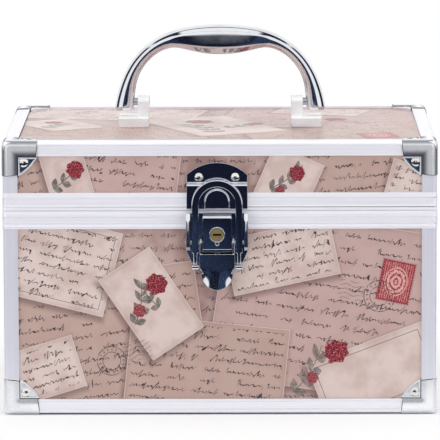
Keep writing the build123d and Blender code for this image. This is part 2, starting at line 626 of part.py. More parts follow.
LEVER_Y = FRONT_Y - LEVER_PIVOT_PROUD
LEVER_Z = SPLIT_Z - LEVER_PIVOT_BELOW_SPLIT
BAIL_Y = LEVER_Y + BAIL_PIVOT_BACK
BAIL_Z = LEVER_Z - BAIL_PIVOT_BELOW
BASE_FACE_Y = FRONT_Y - LATCH_SHEET
BAIL_BACK_Y = BASE_FACE_Y - HOOK_PROUD - OPEN_CLEARANCE - BAIL_PLAY
BAIL_FRONT_Y = BAIL_BACK_Y - BAIL_SHEET
ARM_INNER_X = HOUSING_HALF_WIDTH + SIDE_CLEARANCE
ARM_OUTER_X = ARM_INNER_X + LEVER_ARM
BAIL_INNER_X = ARM_OUTER_X + SIDE_CLEARANCE + BAIL_PLAY
BAIL_OUTER_X = BAIL_INNER_X + BAIL_BAND


def make_latch_base():
    """Base plate with its two ears, the lock housing and the lever pin. Returns the rivets."""
    top = SPLIT_Z - BASE_TOP
    foot = top - BASE_HEIGHT
    half = BASE_HALF_WIDTH
    toe = half - BASE_TOE
    outline = Polyline((-half, top), (half, top), (half, foot + EAR_TAPER), (toe, foot),
                       (-toe, foot), (-half, foot + EAR_TAPER), close=True)
    plate = plate_xz(make_face(outline), BASE_FACE_Y, FRONT_Y)
    slot_x = (ARM_INNER_X - SIDE_CLEARANCE / 2, ARM_OUTER_X + SIDE_CLEARANCE / 2)
    slot = block(*slot_x, BASE_FACE_Y, FRONT_Y, foot, LEVER_Z + LEVER_EYE_RADIUS + LEVER_PIN_RADIUS)
    ear_front = BASE_FACE_Y - EAR_DEPTH
    chin = foot + EAR_TAPER
    ear = plate_yz(
        [(BASE_FACE_Y, top), (ear_front + EAR_BROW, top), (ear_front, top - EAR_BROW_DROP),
         (ear_front, chin + EAR_CHIN_RISE), (ear_front + EAR_CHIN, chin), (BASE_FACE_Y, chin)],
        half - EAR_SHEET, half)
    ear = fillet(ear.edges().filter_by(Axis.Z).sort_by(Axis.Y)[:2], EAR_ROUND)
    reach = half + LEVER_PIN_END
    pin = rod_x(-reach, reach, LEVER_Y, LEVER_Z, LEVER_PIN_RADIUS)
    rivets = [
        rivet_at(x, SPLIT_Z - below, BASE_FACE_Y, LATCH_RIVET_RADIUS, LATCH_RIVET_HEIGHT, depth)
        for x, below, depth in (
            (-LATCH_RIVET_X, LATCH_RIVET_BELOW, LATCH_SHEET + RIVET_GRIP),
            (LATCH_RIVET_X, LATCH_RIVET_BELOW, LATCH_SHEET + RIVET_GRIP),
            (0, LATCH_LOW_RIVET_BELOW, PANEL_FRONT_Y - BASE_FACE_Y + RIVET_GRIP),
        )
    ]
    base = plate - slot - mirror(slot, about=Plane.YZ)
    for side in both_sides(ear):
        base += side
    for cut in rivets + [pin]:
        base -= cut
    rivets = on_latch(rivets)
    keep("latch_base", *on_latch([base]))
    keep("latch_base_rivets", *rivets)
    keep("latch_lever_pin", *on_latch([pin]))
    make_lock_housing(pin)
    return rivets


def make_lock_housing(pin):
    top = SPLIT_Z - HOUSING_TOP
    foot = top - HOUSING_HEIGHT
    half = HOUSING_HALF_WIDTH
    front = BASE_FACE_Y - HOUSING_PROUD
    housing = block(-half, half, front, BASE_FACE_Y, foot, top)
    brow = housing.edges().filter_by(Axis.X).sort_by(Axis.Z)[-2:].sort_by(Axis.Y)[0]
    housing = chamfer(brow, HOUSING_CHAMFER)
    hollow_half = half - HOUSING_WALL
    housing -= block(-hollow_half, hollow_half, front + HOUSING_WALL, BASE_FACE_Y, foot, top - HOUSING_WALL)
    plug_z = SPLIT_Z - PLUG_BELOW_SPLIT
    housing -= rod_y(front - 1, front + HOUSING_WALL, 0, plug_z, PLUG_RADIUS + RUNNING_CLEARANCE)
    keep("lock_housing", *on_latch([housing - pin]))
    back = front - PLUG_PROUD + PLUG_LENGTH
    plug = rod_y(front - PLUG_PROUD, back, 0, plug_z, PLUG_RADIUS)
    slot = block(-KEY_SLOT_LENGTH / 2, KEY_SLOT_LENGTH / 2, front - 1, front - PLUG_PROUD + KEY_SLOT_DEPTH,
                 plug_z - KEY_SLOT_WIDTH / 2, plug_z + KEY_SLOT_WIDTH / 2)
    cam = block(-CAM_WIDTH / 2, CAM_WIDTH / 2, back, back + CAM_SHEET, plug_z - CAM_WIDTH / 2, plug_z + CAM_REACH)
    keep("lock_plug", *on_latch([plug - slot + cam]))


def make_lever():
    """Finger lever with two side arms, and the cross pin that carries the bail."""
    plate_y = FRONT_Y - LEVER_PLATE_PROUD
    top = LEVER_Z - LEVER_TOP_BELOW_PIVOT
    end = LEVER_Z - LEVER_END_BELOW_PIVOT
    arm_front = plate_y + LATCH_SHEET / 2
    neck = LEVER_Z - LEVER_EYE_RADIUS
    eye = BAIL_EYE_RADIUS + LEVER_EYE_WALL
    arm = plate_yz(
        [(LEVER_Y + LEVER_EYE_RADIUS, LEVER_Z), (LEVER_Y - LEVER_EYE_RADIUS, LEVER_Z),
         (arm_front, neck - LEVER_NECK), (arm_front, BAIL_Z - LEVER_HEEL), (BAIL_Y, BAIL_Z - eye),
         (BAIL_Y + eye, BAIL_Z)],
        ARM_INNER_X, ARM_OUTER_X)
    arm += rod_x(ARM_INNER_X, ARM_OUTER_X, LEVER_Y, LEVER_Z, LEVER_EYE_RADIUS)
    arm += rod_x(ARM_INNER_X, ARM_OUTER_X, BAIL_Y, BAIL_Z, eye)
    flare = LEVER_END_HALF_WIDTH
    waist = ARM_OUTER_X - LEVER_WAIST
    narrow = BAIL_Z - LEVER_WAIST_DROP
    low = end + flare
    outline = make_face([
        Polyline((flare, low), (waist, narrow), (ARM_OUTER_X, BAIL_Z), (ARM_OUTER_X, top), (-ARM_OUTER_X, top),
                 (-ARM_OUTER_X, BAIL_Z), (-waist, narrow), (-flare, low)),
        ThreePointArc((-flare, low), (0, end), (flare, low)),
    ])
    sheet = LATCH_SHEET
    bend = (BAIL_Z + narrow) / 2
    profile = [
        (plate_y, top), (plate_y, bend), (plate_y - LEVER_LIP, end), (plate_y - LEVER_LIP + sheet, end),
        (plate_y + sheet, bend), (plate_y + sheet, top),
    ]
    plate = plate_yz(profile, -ARM_OUTER_X, ARM_OUTER_X) & plate_xz(outline, plate_y - FAR, plate_y + FAR)
    pin = rod_x(-BAIL_OUTER_X, BAIL_OUTER_X, BAIL_Y, BAIL_Z, BAIL_PIN_RADIUS)
    lever = plate
    for side in both_sides(arm):
        lever += side
    lever -= rod_x(-FAR, FAR, LEVER_Y, LEVER_Z, LEVER_PIN_RADIUS + RUNNING_CLEARANCE)
    keep("latch_lever", *on_latch([lever - pin]))
    keep("bail_pin", *on_latch([pin]))


def make_bail():
    """Flat band bent over at the top, its legs turned back to an eye on the cross pin."""
    apex = SPLIT_Z + BAIL_APEX
    foot = BAIL_Z - BAIL_EYE_RADIUS
    outline = arch_face(BAIL_OUTER_X, foot, apex) - arch_face(BAIL_INNER_X, foot - 1, apex - BAIL_BAND)
    bend = SPLIT_Z - BAIL_BEND_BELOW
    leg = (Vector(BAIL_Y, BAIL_Z) - Vector((BAIL_FRONT_Y + BAIL_BACK_Y) / 2, bend)).normalized()
    across = Vector(-leg.Y, leg.X) * BAIL_SHEET / 2
    tail_back = Vector(BAIL_Y, BAIL_Z) + across
    tail_front = Vector(BAIL_Y, BAIL_Z) - across
    profile = [
        (BAIL_FRONT_Y, apex), (BAIL_FRONT_Y, bend), (tail_front.X, tail_front.Y),
        (tail_back.X, tail_back.Y), (BAIL_BACK_Y, bend), (BAIL_BACK_Y, apex),
    ]
    band = plate_yz(profile, -BAIL_OUTER_X, BAIL_OUTER_X) & plate_xz(outline, -FAR, FAR)
    for x in (BAIL_INNER_X, BAIL_OUTER_X):
        for trim in both_sides(block(x - BAIL_LEG_INSET, x + BAIL_LEG_INSET, -FAR, FAR, foot, bend)):
            band -= trim
    for eye in both_sides(rod_x(BAIL_INNER_X, BAIL_OUTER_X, BAIL_Y, BAIL_Z, BAIL_EYE_RADIUS)):
        band += eye
    band -= rod_x(-FAR, FAR, BAIL_Y, BAIL_Z, BAIL_PIN_RADIUS + RUNNING_CLEARANCE)
    keep("latch_bail", *on_latch([band]))


# ---------------------------------------------------------------- trays
def bar_with_eyes(start, end, x0, x1, holes):
    """Flat bar between two pivots. holes: (place, radius) pairs."""
    middle = (start + end) * 0.5
    along = end - start
    angle = math.degrees(math.atan2(along.Z, along.Y))
    shape = Plane.YZ.offset(x0) * Pos(middle.Y, middle.Z) * Rot(0, 0, angle) * SlotCenterToCenter(
        along.length, ARM_WIDTH)
    bar = extrude(shape, x1 - x0)
    for place, radius in holes:
        bar -= rod_x(x0 - 1, x1 + 1, place.Y, place.Z, radius)
    return bar


def make_arms():
    """Two pairs of arms on the body's side walls, and the links that pull them with the lid."""
    for place, base in ARM_PIVOTS.items():
        middle = base + ARM_DIRECTION * (ARM_LENGTH / 2)
        end = base + ARM_DIRECTION * ARM_LENGTH
        tray_play = RUNNING_CLEARANCE if place == "rear" else OPEN_CLEARANCE
        holes = [(base, STUD_RADIUS + RUNNING_CLEARANCE)]
        holes += [(middle, STUD_RADIUS + tray_play), (end, STUD_RADIUS + tray_play)]
        keep(place + "_tray_arms", *both_sides(bar_with_eyes(base, end, ARM_X, ARM_X + ARM_SHEET, holes)))
    low = ARM_PIVOTS["rear"] + ARM_DIRECTION * ARM_LENGTH
    high = low + LINK_VECTOR
    holes = [(low, STUD_RADIUS + OPEN_CLEARANCE), (high, STUD_RADIUS + RUNNING_CLEARANCE)]
    keep("drag_links", *both_sides(bar_with_eyes(low, high, LINK_X, LINK_X + ARM_SHEET, holes)))
    return high


def stud(y, z, seat_x, arm_in, arm_out):
    """Headed stud that stands on seat_x and holds an arm between arm_in and arm_out."""
    toward = math.copysign(1.0, arm_out - seat_x)
    collar_end = arm_in - toward * STUD_SHOULDER
    head_seat = arm_out + toward * STUD_SHOULDER
    head_end = head_seat + toward * STUD_HEAD_SHEET
    shape = rod_x(*sorted((collar_end, head_seat)), y, z, STUD_RADIUS)
    shape += rod_x(*sorted((head_seat, head_end)), y, z, STUD_HEAD_RADIUS)
    if abs(collar_end - seat_x) > 0:
        shape += rod_x(*sorted((seat_x, collar_end)), y, z, STUD_COLLAR_RADIUS)
    return shape


def make_studs(link_top):
    arm_out = ARM_X + ARM_SHEET
    link_out = LINK_X + ARM_SHEET
    for base in ARM_PIVOTS.values():
        keep("tray_arm_studs", *both_sides(stud(base.Y, base.Z, INSIDE_HALF_X, arm_out, ARM_X)))
    keep("lid_link_studs", *both_sides(stud(link_top.Y, link_top.Z, INSIDE_HALF_X, link_out, LINK_X)))
    for tray, share in (("lower", 0.5), ("upper", 1.0)):
        for place, base in ARM_PIVOTS.items():
            spot = base + ARM_DIRECTION * (ARM_LENGTH * share)
            outer = link_out if (tray, place) == ("upper", "rear") else arm_out
            keep(tray + "_tray_studs", *both_sides(stud(spot.Y, spot.Z, TRAY_HALF_X, ARM_X, outer)))


def tray(y0, z0, dividers):
    y1 = y0 + TRAY_DEPTH
    z1 = z0 + TRAY_HEIGHT
    middle = (y0 + y1) / 2
    wall = TRAY_WALL
    outer = Pos(0, middle, 0) * slab(TRAY_HALF_X, TRAY_DEPTH / 2, z0, z1, TRAY_CORNER)
    inner = Pos(0, middle, 0) * slab(TRAY_HALF_X - wall, TRAY_DEPTH / 2 - wall, z0 + wall, z1, TRAY_CORNER - wall)
    shape = outer - inner
    for x in dividers:
        shape += block(x - wall / 2, x + wall / 2, y0 + wall, y1 - wall, z0 + wall, z1 - DIVIDER_DROP)
    return shape


# ---------------------------------------------------------------- mirror in the lid
def make_mirror():
    low = CEILING_Z - MIRROR_THICKNESS
    keep("lid_mirror", slab(MIRROR_WIDTH / 2, MIRROR_DEPTH / 2, low, CEILING_Z, MIRROR_CORNER))
    edge = MIRROR_DEPTH / 2
    foot = block(-CLIP_LENGTH / 2, CLIP_LENGTH / 2, edge, edge + CLIP_WIDTH - CLIP_LIP, low - CLIP_SHEET, CEILING_Z)
    lip = block(-CLIP_LENGTH / 2, CLIP_LENGTH / 2, edge - CLIP_LIP, edge, low - CLIP_SHEET, low)
    for x in (-MIRROR_WIDTH / 4, MIRROR_WIDTH / 4):
        clip = Pos(x, 0, 0) * (foot + lip)
        keep("mirror_clips", clip, mirror(clip, about=Plane.XZ))


# ---------------------------------------------------------------- assembly
def less(shape, cuts):
    for cut in cuts:
        shape -= cut
    return shape


def main():
    make_rails_and_posts()
    corner = make_corners()
    hinge = make_hinge()
    keeper = make_keeper()
    latch = make_latch_base()
    make_lever()
    make_bail()
    screws = make_brackets(make_handle())
    make_studs(make_arms())
    keep("upper_tray", tray(UPPER_TRAY_Y, UPPER_TRAY_Z, UPPER_DIVIDERS))
    keep("lower_tray", tray(LOWER_TRAY_Y, LOWER_TRAY_Z, LOWER_DIVIDERS))
    make_mirror()

    body_rim = less(rim_frame(BODY_RIM_Z, BODY_HEIGHT, BODY_GROOVES), hinge["body"] + latch)
    lid_rim = less(rim_frame(LID_FOOT_Z, LID_RIM_TOP_Z, LID_GROOVES), hinge["lid"])
    keep("body_rim", *mitred(body_rim, RIM_HALF_X, RIM_HALF_Y))
    keep("lid_rim", *mitred(lid_rim, RIM_HALF_X, RIM_HALF_Y))

    holes = {"body": corner["body"] + latch, "lid": corner["lid"] + keeper + screws}
    for name, panel in make_panels().items():
        keep(name, less(panel, holes[name.split("_")[0]]))
    keep("body_lining", lining(BOARD_LOW_Z, FLOOR_Z, BODY_RIM_Z))
    keep("lid_lining", less(lining(BOARD_HIGH_Z, CEILING_Z, LID_RIM_TOP_Z), screws))

    os.makedirs("parts", exist_ok=True)
    for name, solids in PIECES.items():
        export_step(Compound(solids), f"parts/{name}.step")


main()
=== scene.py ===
import logging
import math
from dataclasses import dataclass, fields
from enum import Enum
from functools import reduce
from typing import Callable, Iterable, Iterator, Sequence

import bmesh
import bpy
from mathutils import Matrix, Vector


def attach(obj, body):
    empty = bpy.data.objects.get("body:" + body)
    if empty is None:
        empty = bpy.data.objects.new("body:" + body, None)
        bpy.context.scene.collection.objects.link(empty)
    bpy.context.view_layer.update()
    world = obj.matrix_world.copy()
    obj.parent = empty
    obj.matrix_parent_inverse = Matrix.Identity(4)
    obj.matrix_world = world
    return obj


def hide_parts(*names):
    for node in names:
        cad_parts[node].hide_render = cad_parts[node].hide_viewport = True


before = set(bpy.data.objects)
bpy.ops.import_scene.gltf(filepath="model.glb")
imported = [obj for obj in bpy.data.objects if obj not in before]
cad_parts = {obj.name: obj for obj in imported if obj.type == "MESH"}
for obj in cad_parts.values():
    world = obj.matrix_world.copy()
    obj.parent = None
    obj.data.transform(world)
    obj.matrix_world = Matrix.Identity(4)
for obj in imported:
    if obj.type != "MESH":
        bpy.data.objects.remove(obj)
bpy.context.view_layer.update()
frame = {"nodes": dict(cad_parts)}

# Small framed vanity case: printed panels in an aluminium frame, chrome corners, handle and
# draw latch, two rising trays inside. Lengths in the code are millimetres until they are
# turned into metres with MM. The origin is on the ground under the middle of the case.

log = logging.getLogger("vanity_case")
MM = 0.001
TINY = 1e-5
# Meshes: a cut passes through a vertex this near it, in metres; vertices this near are one.
CUT_TOLERANCE = 1e-7
WELD_MM = 0.002
# Degrees: faces flatter than the first become one, edges sharper than the second are rounded.
FLAT_ANGLE = 0.5
ROUNDED_ANGLE = 30.0
UP = Vector((0.0, 0.0, 1.0))
WHITE = (1.0, 1.0, 1.0, 1.0)
Colour = tuple[float, float, float, float]
Place = tuple[float, float]


def tint(red: int, green: int, blue: int) -> Colour:
    """Turns a colour of 0 to 255 per channel, as seen on screen, into Blender's linear one.

    Args:
        red: red channel.
        green: green channel.
        blue: blue channel.

    Returns:
        The linear colour with an alpha of 1.
    """
    def linear(channel: int) -> float:
        """Undoes the screen's curve on one channel."""
        share = channel / 255
        return share / 12.92 if share <= 0.04045 else ((share + 0.055) / 1.055) ** 2.4

    return (linear(red), linear(green), linear(blue), 1.0)


# ------------------------------------------------------------------ node trees
class Wire:
    """A value in a node tree. Plus, minus, times, divide and abs() add the Math node they stand for."""

    def __init__(self, sketch: "Sketch", socket: bpy.types.NodeSocket) -> None:
        """Keeps the tree's sketch and the socket the value comes from."""
        self.sketch = sketch
        self.socket = socket

    def of(self, operation: str) -> "Wire":
        """The value after a Math node that takes one value."""
        return self.sketch.math(operation, self)

    def __add__(self, other: object) -> "Wire":
        """Sum."""
        return self.sketch.math("ADD", self, other)

    def __sub__(self, other: object) -> "Wire":
        """Difference."""
        return self.sketch.math("SUBTRACT", self, other)

    def __rsub__(self, other: object) -> "Wire":
        """Difference, the value taken away from a number."""
        return self.sketch.math("SUBTRACT", other, self)

    def __mul__(self, other: object) -> "Wire":
        """Product."""
        return self.sketch.math("MULTIPLY", self, other)

    def __truediv__(self, other: object) -> "Wire":
        """Quotient."""
        return self.sketch.math("DIVIDE", self, other)

    def __abs__(self) -> "Wire":
        """Size without its sign."""
        return self.of("ABSOLUTE")


class Sketch:
    """Places nodes in one node tree and joins them."""

    def __init__(self, tree: bpy.types.NodeTree) -> None:
        """Starts on an empty tree."""
        self.tree = tree
        tree.nodes.clear()

    def add(self, kind: str, feeds: dict | None = None, **settings: object) -> bpy.types.Node:
        """Adds a node.

        Args:
            kind: Blender's name of the node type.
            feeds: values, wires or sockets for its inputs, by socket name or number.
            **settings: attributes of the node.

        Returns:
            The new node.
        """
        node = self.tree.nodes.new(kind)
        for name, value in settings.items():
            setattr(node, name, value)
        for key, value in (feeds or {}).items():
            self.feed(node.inputs[key], value)
        return node

    def take(self, kind: str, output: int | str = 0, feeds: dict | None = None,
             **settings: object) -> Wire:
        """Adds a node and returns one of its outputs."""
        return Wire(self, self.add(kind, feeds, **settings).outputs[output])

    def feed(self, socket: bpy.types.NodeSocket, value: object) -> None:
        """Links a wire or socket to an input, or sets the input's value."""
        if isinstance(value, Wire):
            value = value.socket
        if isinstance(value, bpy.types.NodeSocket):
            self.tree.links.new(value, socket)
        else:
            socket.default_value = value

    def math(self, operation: str, *values: object) -> Wire:
        """Adds a Math node over one to three values."""
        return self.take("ShaderNodeMath", feeds=dict(enumerate(values)), operation=operation)

    def larger(self, *values: object) -> Wire:
        """The largest of two or more values."""
        return reduce(lambda one, two: self.math("MAXIMUM", one, two), values)

    def vector(self, operation: str, *values: object, output: int | str = 0) -> Wire:
        """Adds a Vector Math node."""
        return self.take("ShaderNodeVectorMath", output, dict(enumerate(values)), operation=operation)

    def combine(self, x: object = 0.0, y: object = 0.0, z: object = 0.0) -> Wire:
        """Vector of three values."""
        return self.take("ShaderNodeCombineXYZ", feeds={0: x, 1: y, 2: z})

    def length(self, x: object, y: object) -> Wire:
        """Length of a flat vector."""
        return self.vector("LENGTH", self.combine(x, y), output="Value")

    def split(self, value: object) -> list[Wire]:
        """The three values of a vector or colour."""
        return [Wire(self, one) for one in self.add("ShaderNodeSeparateXYZ", {0: value}).outputs]

    def fade(self, value: object, start: float, end: float, low: float = 0.0, high: float = 1.0,
             smooth: bool = True) -> Wire:
        """Maps a value from start..end to low..high, held at both ends.

        Args:
            value: what is mapped.
            start: value that gives low.
            end: value that gives high.
            low: first result.
            high: last result.
            smooth: eases in and out.

        Returns:
            The result.
        """
        kind = "SMOOTHSTEP" if smooth else "LINEAR"
        feeds = {"Value": value, "From Min": start, "From Max": end, "To Min": low, "To Max": high}
        return self.take("ShaderNodeMapRange", feeds=feeds, interpolation_type=kind, clamp=True)

    def mix(self, share: object, first: object, second: object, vectors: bool = False) -> Wire:
        """Blends two colours, or two vectors."""
        node = self.add("ShaderNodeMix", data_type="VECTOR" if vectors else "RGBA")
        start = 4 if vectors else 6
        for socket, value in ((0, share), (start, first), (start + 1, second)):
            self.feed(node.inputs[socket], value)
        return Wire(self, node.outputs[1 if vectors else 2])

    def noise(self, vector: object, scale: float, detail: float = 2.0, rough: float = 0.5,
              flat: bool = False, output: int | str = 0) -> Wire:
        """Noise over a vector, in two dimensions where flat."""
        feeds = {"Vector": vector, "Scale": scale, "Detail": detail, "Roughness": rough}
        return self.take("ShaderNodeTexNoise", output, feeds, noise_dimensions="2D" if flat else "3D")

    def place(self) -> Wire:
        """Place on the object, in metres."""
        return self.take("ShaderNodeTexCoord", "Object")

    def show(self, share: Wire, first: Wire, second: Wire) -> None:
        """Blends two shaders into the surface of the material."""
        both = self.take("ShaderNodeMixShader", feeds={0: share, 1: first, 2: second})
        self.add("ShaderNodeOutputMaterial", {"Surface": both})


def new_material(name: str) -> tuple[bpy.types.Material, Sketch]:
    """A new material and the sketch of its node tree."""
    made = bpy.data.materials.new(name)
    made.use_nodes = True
    return made, Sketch(made.node_tree)


class Socket(Enum):
    """Kinds of socket on the shared node groups."""

    VALUE = "NodeSocketFloat"
    VECTOR = "NodeSocketVector"
    COLOUR = "NodeSocketColor"


def value_outputs(*names: str) -> dict[str, Socket]:
    """Outputs that are plain values."""
    return dict.fromkeys(names, Socket.VALUE)


NOWHERE = (0.0, 0.0, 0.0)
VECTOR_IN = {"Vector": (Socket.VECTOR, NOWHERE)}
SCALED_IN = {**VECTOR_IN, "Scale": (Socket.VALUE, 30.0)}


class SharedEffect:
    """A node group that is built once and placed in many materials."""

    def __init__(self, name: str, inputs: dict[str, tuple[Socket, object]],
                 outputs: dict[str, Socket], build: Callable[[Sketch, dict], dict]) -> None:
        """Describes the group.

        Args:
            name: the group's name.
            inputs: kind and default of each input.
            outputs: kind of each output.
            build: draws the inside; gets the sketch and the inputs, returns the outputs.
        """
        self.name = name
        self.inputs = inputs
        self.outputs = outputs
        self.build = build
        self.made: bpy.types.NodeTree | None = None

    def tree(self) -> bpy.types.NodeTree:
        """The group's node tree, made on first use."""
        if self.made is None:
            tree = self.made = bpy.data.node_groups.new(self.name, "ShaderNodeTree")
            for name, (kind, default) in self.inputs.items():
                socket = tree.interface.new_socket(name, in_out="INPUT", socket_type=kind.value)
                socket.default_value = default
            for name, kind in self.outputs.items():
                tree.interface.new_socket(name, in_out="OUTPUT", socket_type=kind.value)
            sketch = Sketch(tree)
            entry = sketch.add("NodeGroupInput")
            found = {name: Wire(sketch, entry.outputs[name]) for name in self.inputs}
            sketch.add("NodeGroupOutput", self.build(sketch, found))
        return self.made

    def place(self, sketch: Sketch, **values: object) -> dict[str, Wire]:
        """Adds the group to a tree with values for its inputs, and returns its outputs."""
        node = sketch.add("ShaderNodeGroup", values, node_tree=self.tree())
        return {name: Wire(sketch, node.outputs[name]) for name in self.outputs}


# ------------------------------------------------------------------ shared effects
def draw_brushing(sketch: Sketch, given: dict) -> dict:
    """Fine scratches along the vector's first axis."""
    place = given["Vector"]
    fine = sketch.noise(sketch.vector("MULTIPLY", place, (18.0, 2600.0, 2600.0)), 1.0, 2.0, 0.6)
    broad = sketch.noise(sketch.vector("MULTIPLY", place, (4.0, 420.0, 420.0)), 1.0, 1.0)
    height = fine * 0.7 + broad * 0.3
    return {"Height": height, "Streaks": sketch.fade(height, 0.3, 0.7)}


def draw_handling(sketch: Sketch, given: dict) -> dict:
    """Soft smudges and a few fine marks from handling."""
    smudge = sketch.noise(given["Vector"], given["Scale"], 3.0, 0.55)
    fine = sketch.noise(given["Vector"], 2200.0, 1.0)
    return {"Smudges": sketch.fade(smudge, 0.42, 0.68), "Marks": sketch.fade(fine, 0.66, 0.74)}


def draw_grain(sketch: Sketch, given: dict) -> dict:
    """Pebbled grain of moulded plastic."""
    feeds = {"Vector": given["Vector"], "Scale": given["Scale"]}
    cells = sketch.take("ShaderNodeTexVoronoi", "Distance", feeds, feature="SMOOTH_F1")
    height = cells + sketch.noise(given["Vector"], 2400.0, 2.0) * 0.35
    return {"Height": height, "Hollows": sketch.fade(height, 0.2, 0.75)}


def draw_felt(sketch: Sketch, given: dict) -> dict:
    """Short matted fibres."""
    cloud = sketch.noise(given["Vector"], 90.0, 4.0, 0.65)
    wave = sketch.noise(given["Vector"], 1500.0, 3.0, 0.7)
    return {"Height": cloud * 0.4 + wave * 0.6, "Lint": sketch.fade(wave, 0.55, 0.75)}


BRUSHING = SharedEffect("Brushing", VECTOR_IN, value_outputs("Height", "Streaks"), draw_brushing)
HANDLING = SharedEffect("Handling", SCALED_IN, value_outputs("Smudges", "Marks"), draw_handling)
GRAIN = SharedEffect("Grain", SCALED_IN, value_outputs("Height", "Hollows"), draw_grain)
FELT = SharedEffect("Felt", VECTOR_IN, value_outputs("Height", "Lint"), draw_felt)


# ------------------------------------------------------------------ printed paper
def turned(sketch: Sketch, given: dict, shift: Place = (0.0, 0.0)) -> list[Wire]:
    """Place on the print as seen from a motif's own middle and angle.

    Args:
        sketch: the tree.
        given: the group's inputs, with Where, Middle and Angle.
        shift: moves the motif over the print, in mm.

    Returns:
        x and y.
    """
    middle = sketch.vector("ADD", given["Middle"], (*shift, 0.0))
    moved = sketch.vector("SUBTRACT", given["Where"], middle)
    feeds = {"Vector": moved, "Angle": given["Angle"] * -1.0}
    return sketch.split(sketch.take("ShaderNodeVectorRotate", feeds=feeds, rotation_type="Z_AXIS"))[:2]


def box_distance(sketch: Sketch, x: Wire, y: Wire, half: Wire) -> Wire:
    """Distance outside a rectangle, negative inside."""
    half_x, half_y, _ = sketch.split(half)
    return sketch.larger(abs(x) - half_x, abs(y) - half_y)


def pen_lines(sketch: Sketch, x: Wire, y: Wire, pitch: Wire | float, seed: Wire | float) -> Wire:
    """Rows of slanted pen squiggles with gaps, which spell nothing.

    Args:
        sketch: the tree.
        x: place along the rows, mm.
        y: place across the rows, mm.
        pitch: from row to row, mm.
        seed: picks the squiggles.

    Returns:
        Mask of the ink.
    """
    rows = y / pitch
    row = rows.of("FLOOR") + seed
    above = (rows.of("FRACT") - 0.45) * pitch
    along = above * -0.62 + x
    wobble = sketch.noise(sketch.combine(along, row * 5.7), 0.33, 1.0, flat=True, output="Color")
    swing, rise, press = sketch.split(wobble)
    phase = swing * 11.0 + along * 2.7
    tall = sketch.fade(rise, 0.47, 0.78, 0.42, 2.1)
    slope = tall * 2.7 * phase.of("COSINE")
    gap = abs(above - tall * (phase.of("SINE") + 0.25)) / (slope * slope + 1.0).of("SQRT")
    stroke = sketch.fade(gap - sketch.fade(press, 0.35, 0.7, 0.10, 0.26), 0.12, -0.03)
    words = sketch.noise(sketch.combine(x, row * 3.1), 0.16, 0.0, flat=True)
    return stroke * sketch.fade(words, 0.36, 0.42)


def draw_sheet(sketch: Sketch, given: dict) -> dict:
    """One sheet of old paper with its shadow, pen lines and an inner frame line."""
    x, y = turned(sketch, given)
    edge = box_distance(sketch, x, y, given["Half"])
    shade = box_distance(sketch, *turned(sketch, given, (-0.9, -1.9)), given["Half"])
    under = sketch.mix(sketch.fade(shade, 3.4, -1.2) * given["Lift"], given["Under"], tint(112, 84, 82))
    cloud = sketch.noise(given["Where"], 0.055, 3.0, 0.6, flat=True)
    aged = sketch.mix(sketch.fade(cloud, 0.36, 0.68, 0.0, 0.42), given["Tone"], tint(183, 150, 142))
    aged = sketch.mix(sketch.fade(edge, -3.5, 0.0, 0.0, 0.22), aged, tint(150, 120, 114))
    aged = sketch.mix(sketch.fade(edge, -0.55, -0.3, 0.0, 0.5), aged, tint(232, 214, 206))
    ink = pen_lines(sketch, x, y, given["Pitch"], given["Seed"]) * given["Writing"]
    framed = sketch.fade(abs(edge + given["Frame_inset"]), 0.3, 0.1) * given["Frame"]
    marked = sketch.mix(sketch.larger(ink * sketch.fade(edge, -2.0, -3.0), framed), aged, given["Ink"])
    return {"Colour": sketch.mix(sketch.fade(edge, 0.1, -0.1), under, marked)}


def draw_blossom(sketch: Sketch, given: dict) -> dict:
    """Ruffled flower head."""
    x, y = turned(sketch, given)
    across, up = x / given["Radius"], y / given["Radius"]
    place = sketch.combine(across, up, given["Seed"])
    out = sketch.length(across, up)
    around = sketch.math("ARCTAN2", up, across)
    rough = sketch.noise(place, 2.6, 3.0, 0.65)
    lobes = (around * 7.0 + rough * 5.0).of("SINE")
    border = lobes * 0.07 + sketch.fade(rough, 0.3, 0.7, 0.78, 1.0, smooth=False)
    bands = (rough * 13.0 + ((around * 3.0).of("SINE") * 1.1 + out * 15.0)).of("SINE")
    flecks = sketch.noise(place, 9.0, 2.0, 0.7)
    petal = sketch.mix(sketch.fade(bands, -0.7, 0.9), given["Deep"], given["Bright"])
    petal = sketch.mix(sketch.fade(flecks, 0.55, 0.68), petal, given["Pale"])
    petal = sketch.mix(sketch.fade(flecks, 0.47, 0.38), petal, tint(62, 6, 20))
    return {"Colour": sketch.mix(sketch.fade(out - border, 0.03, -0.04), given["Under"], petal)}


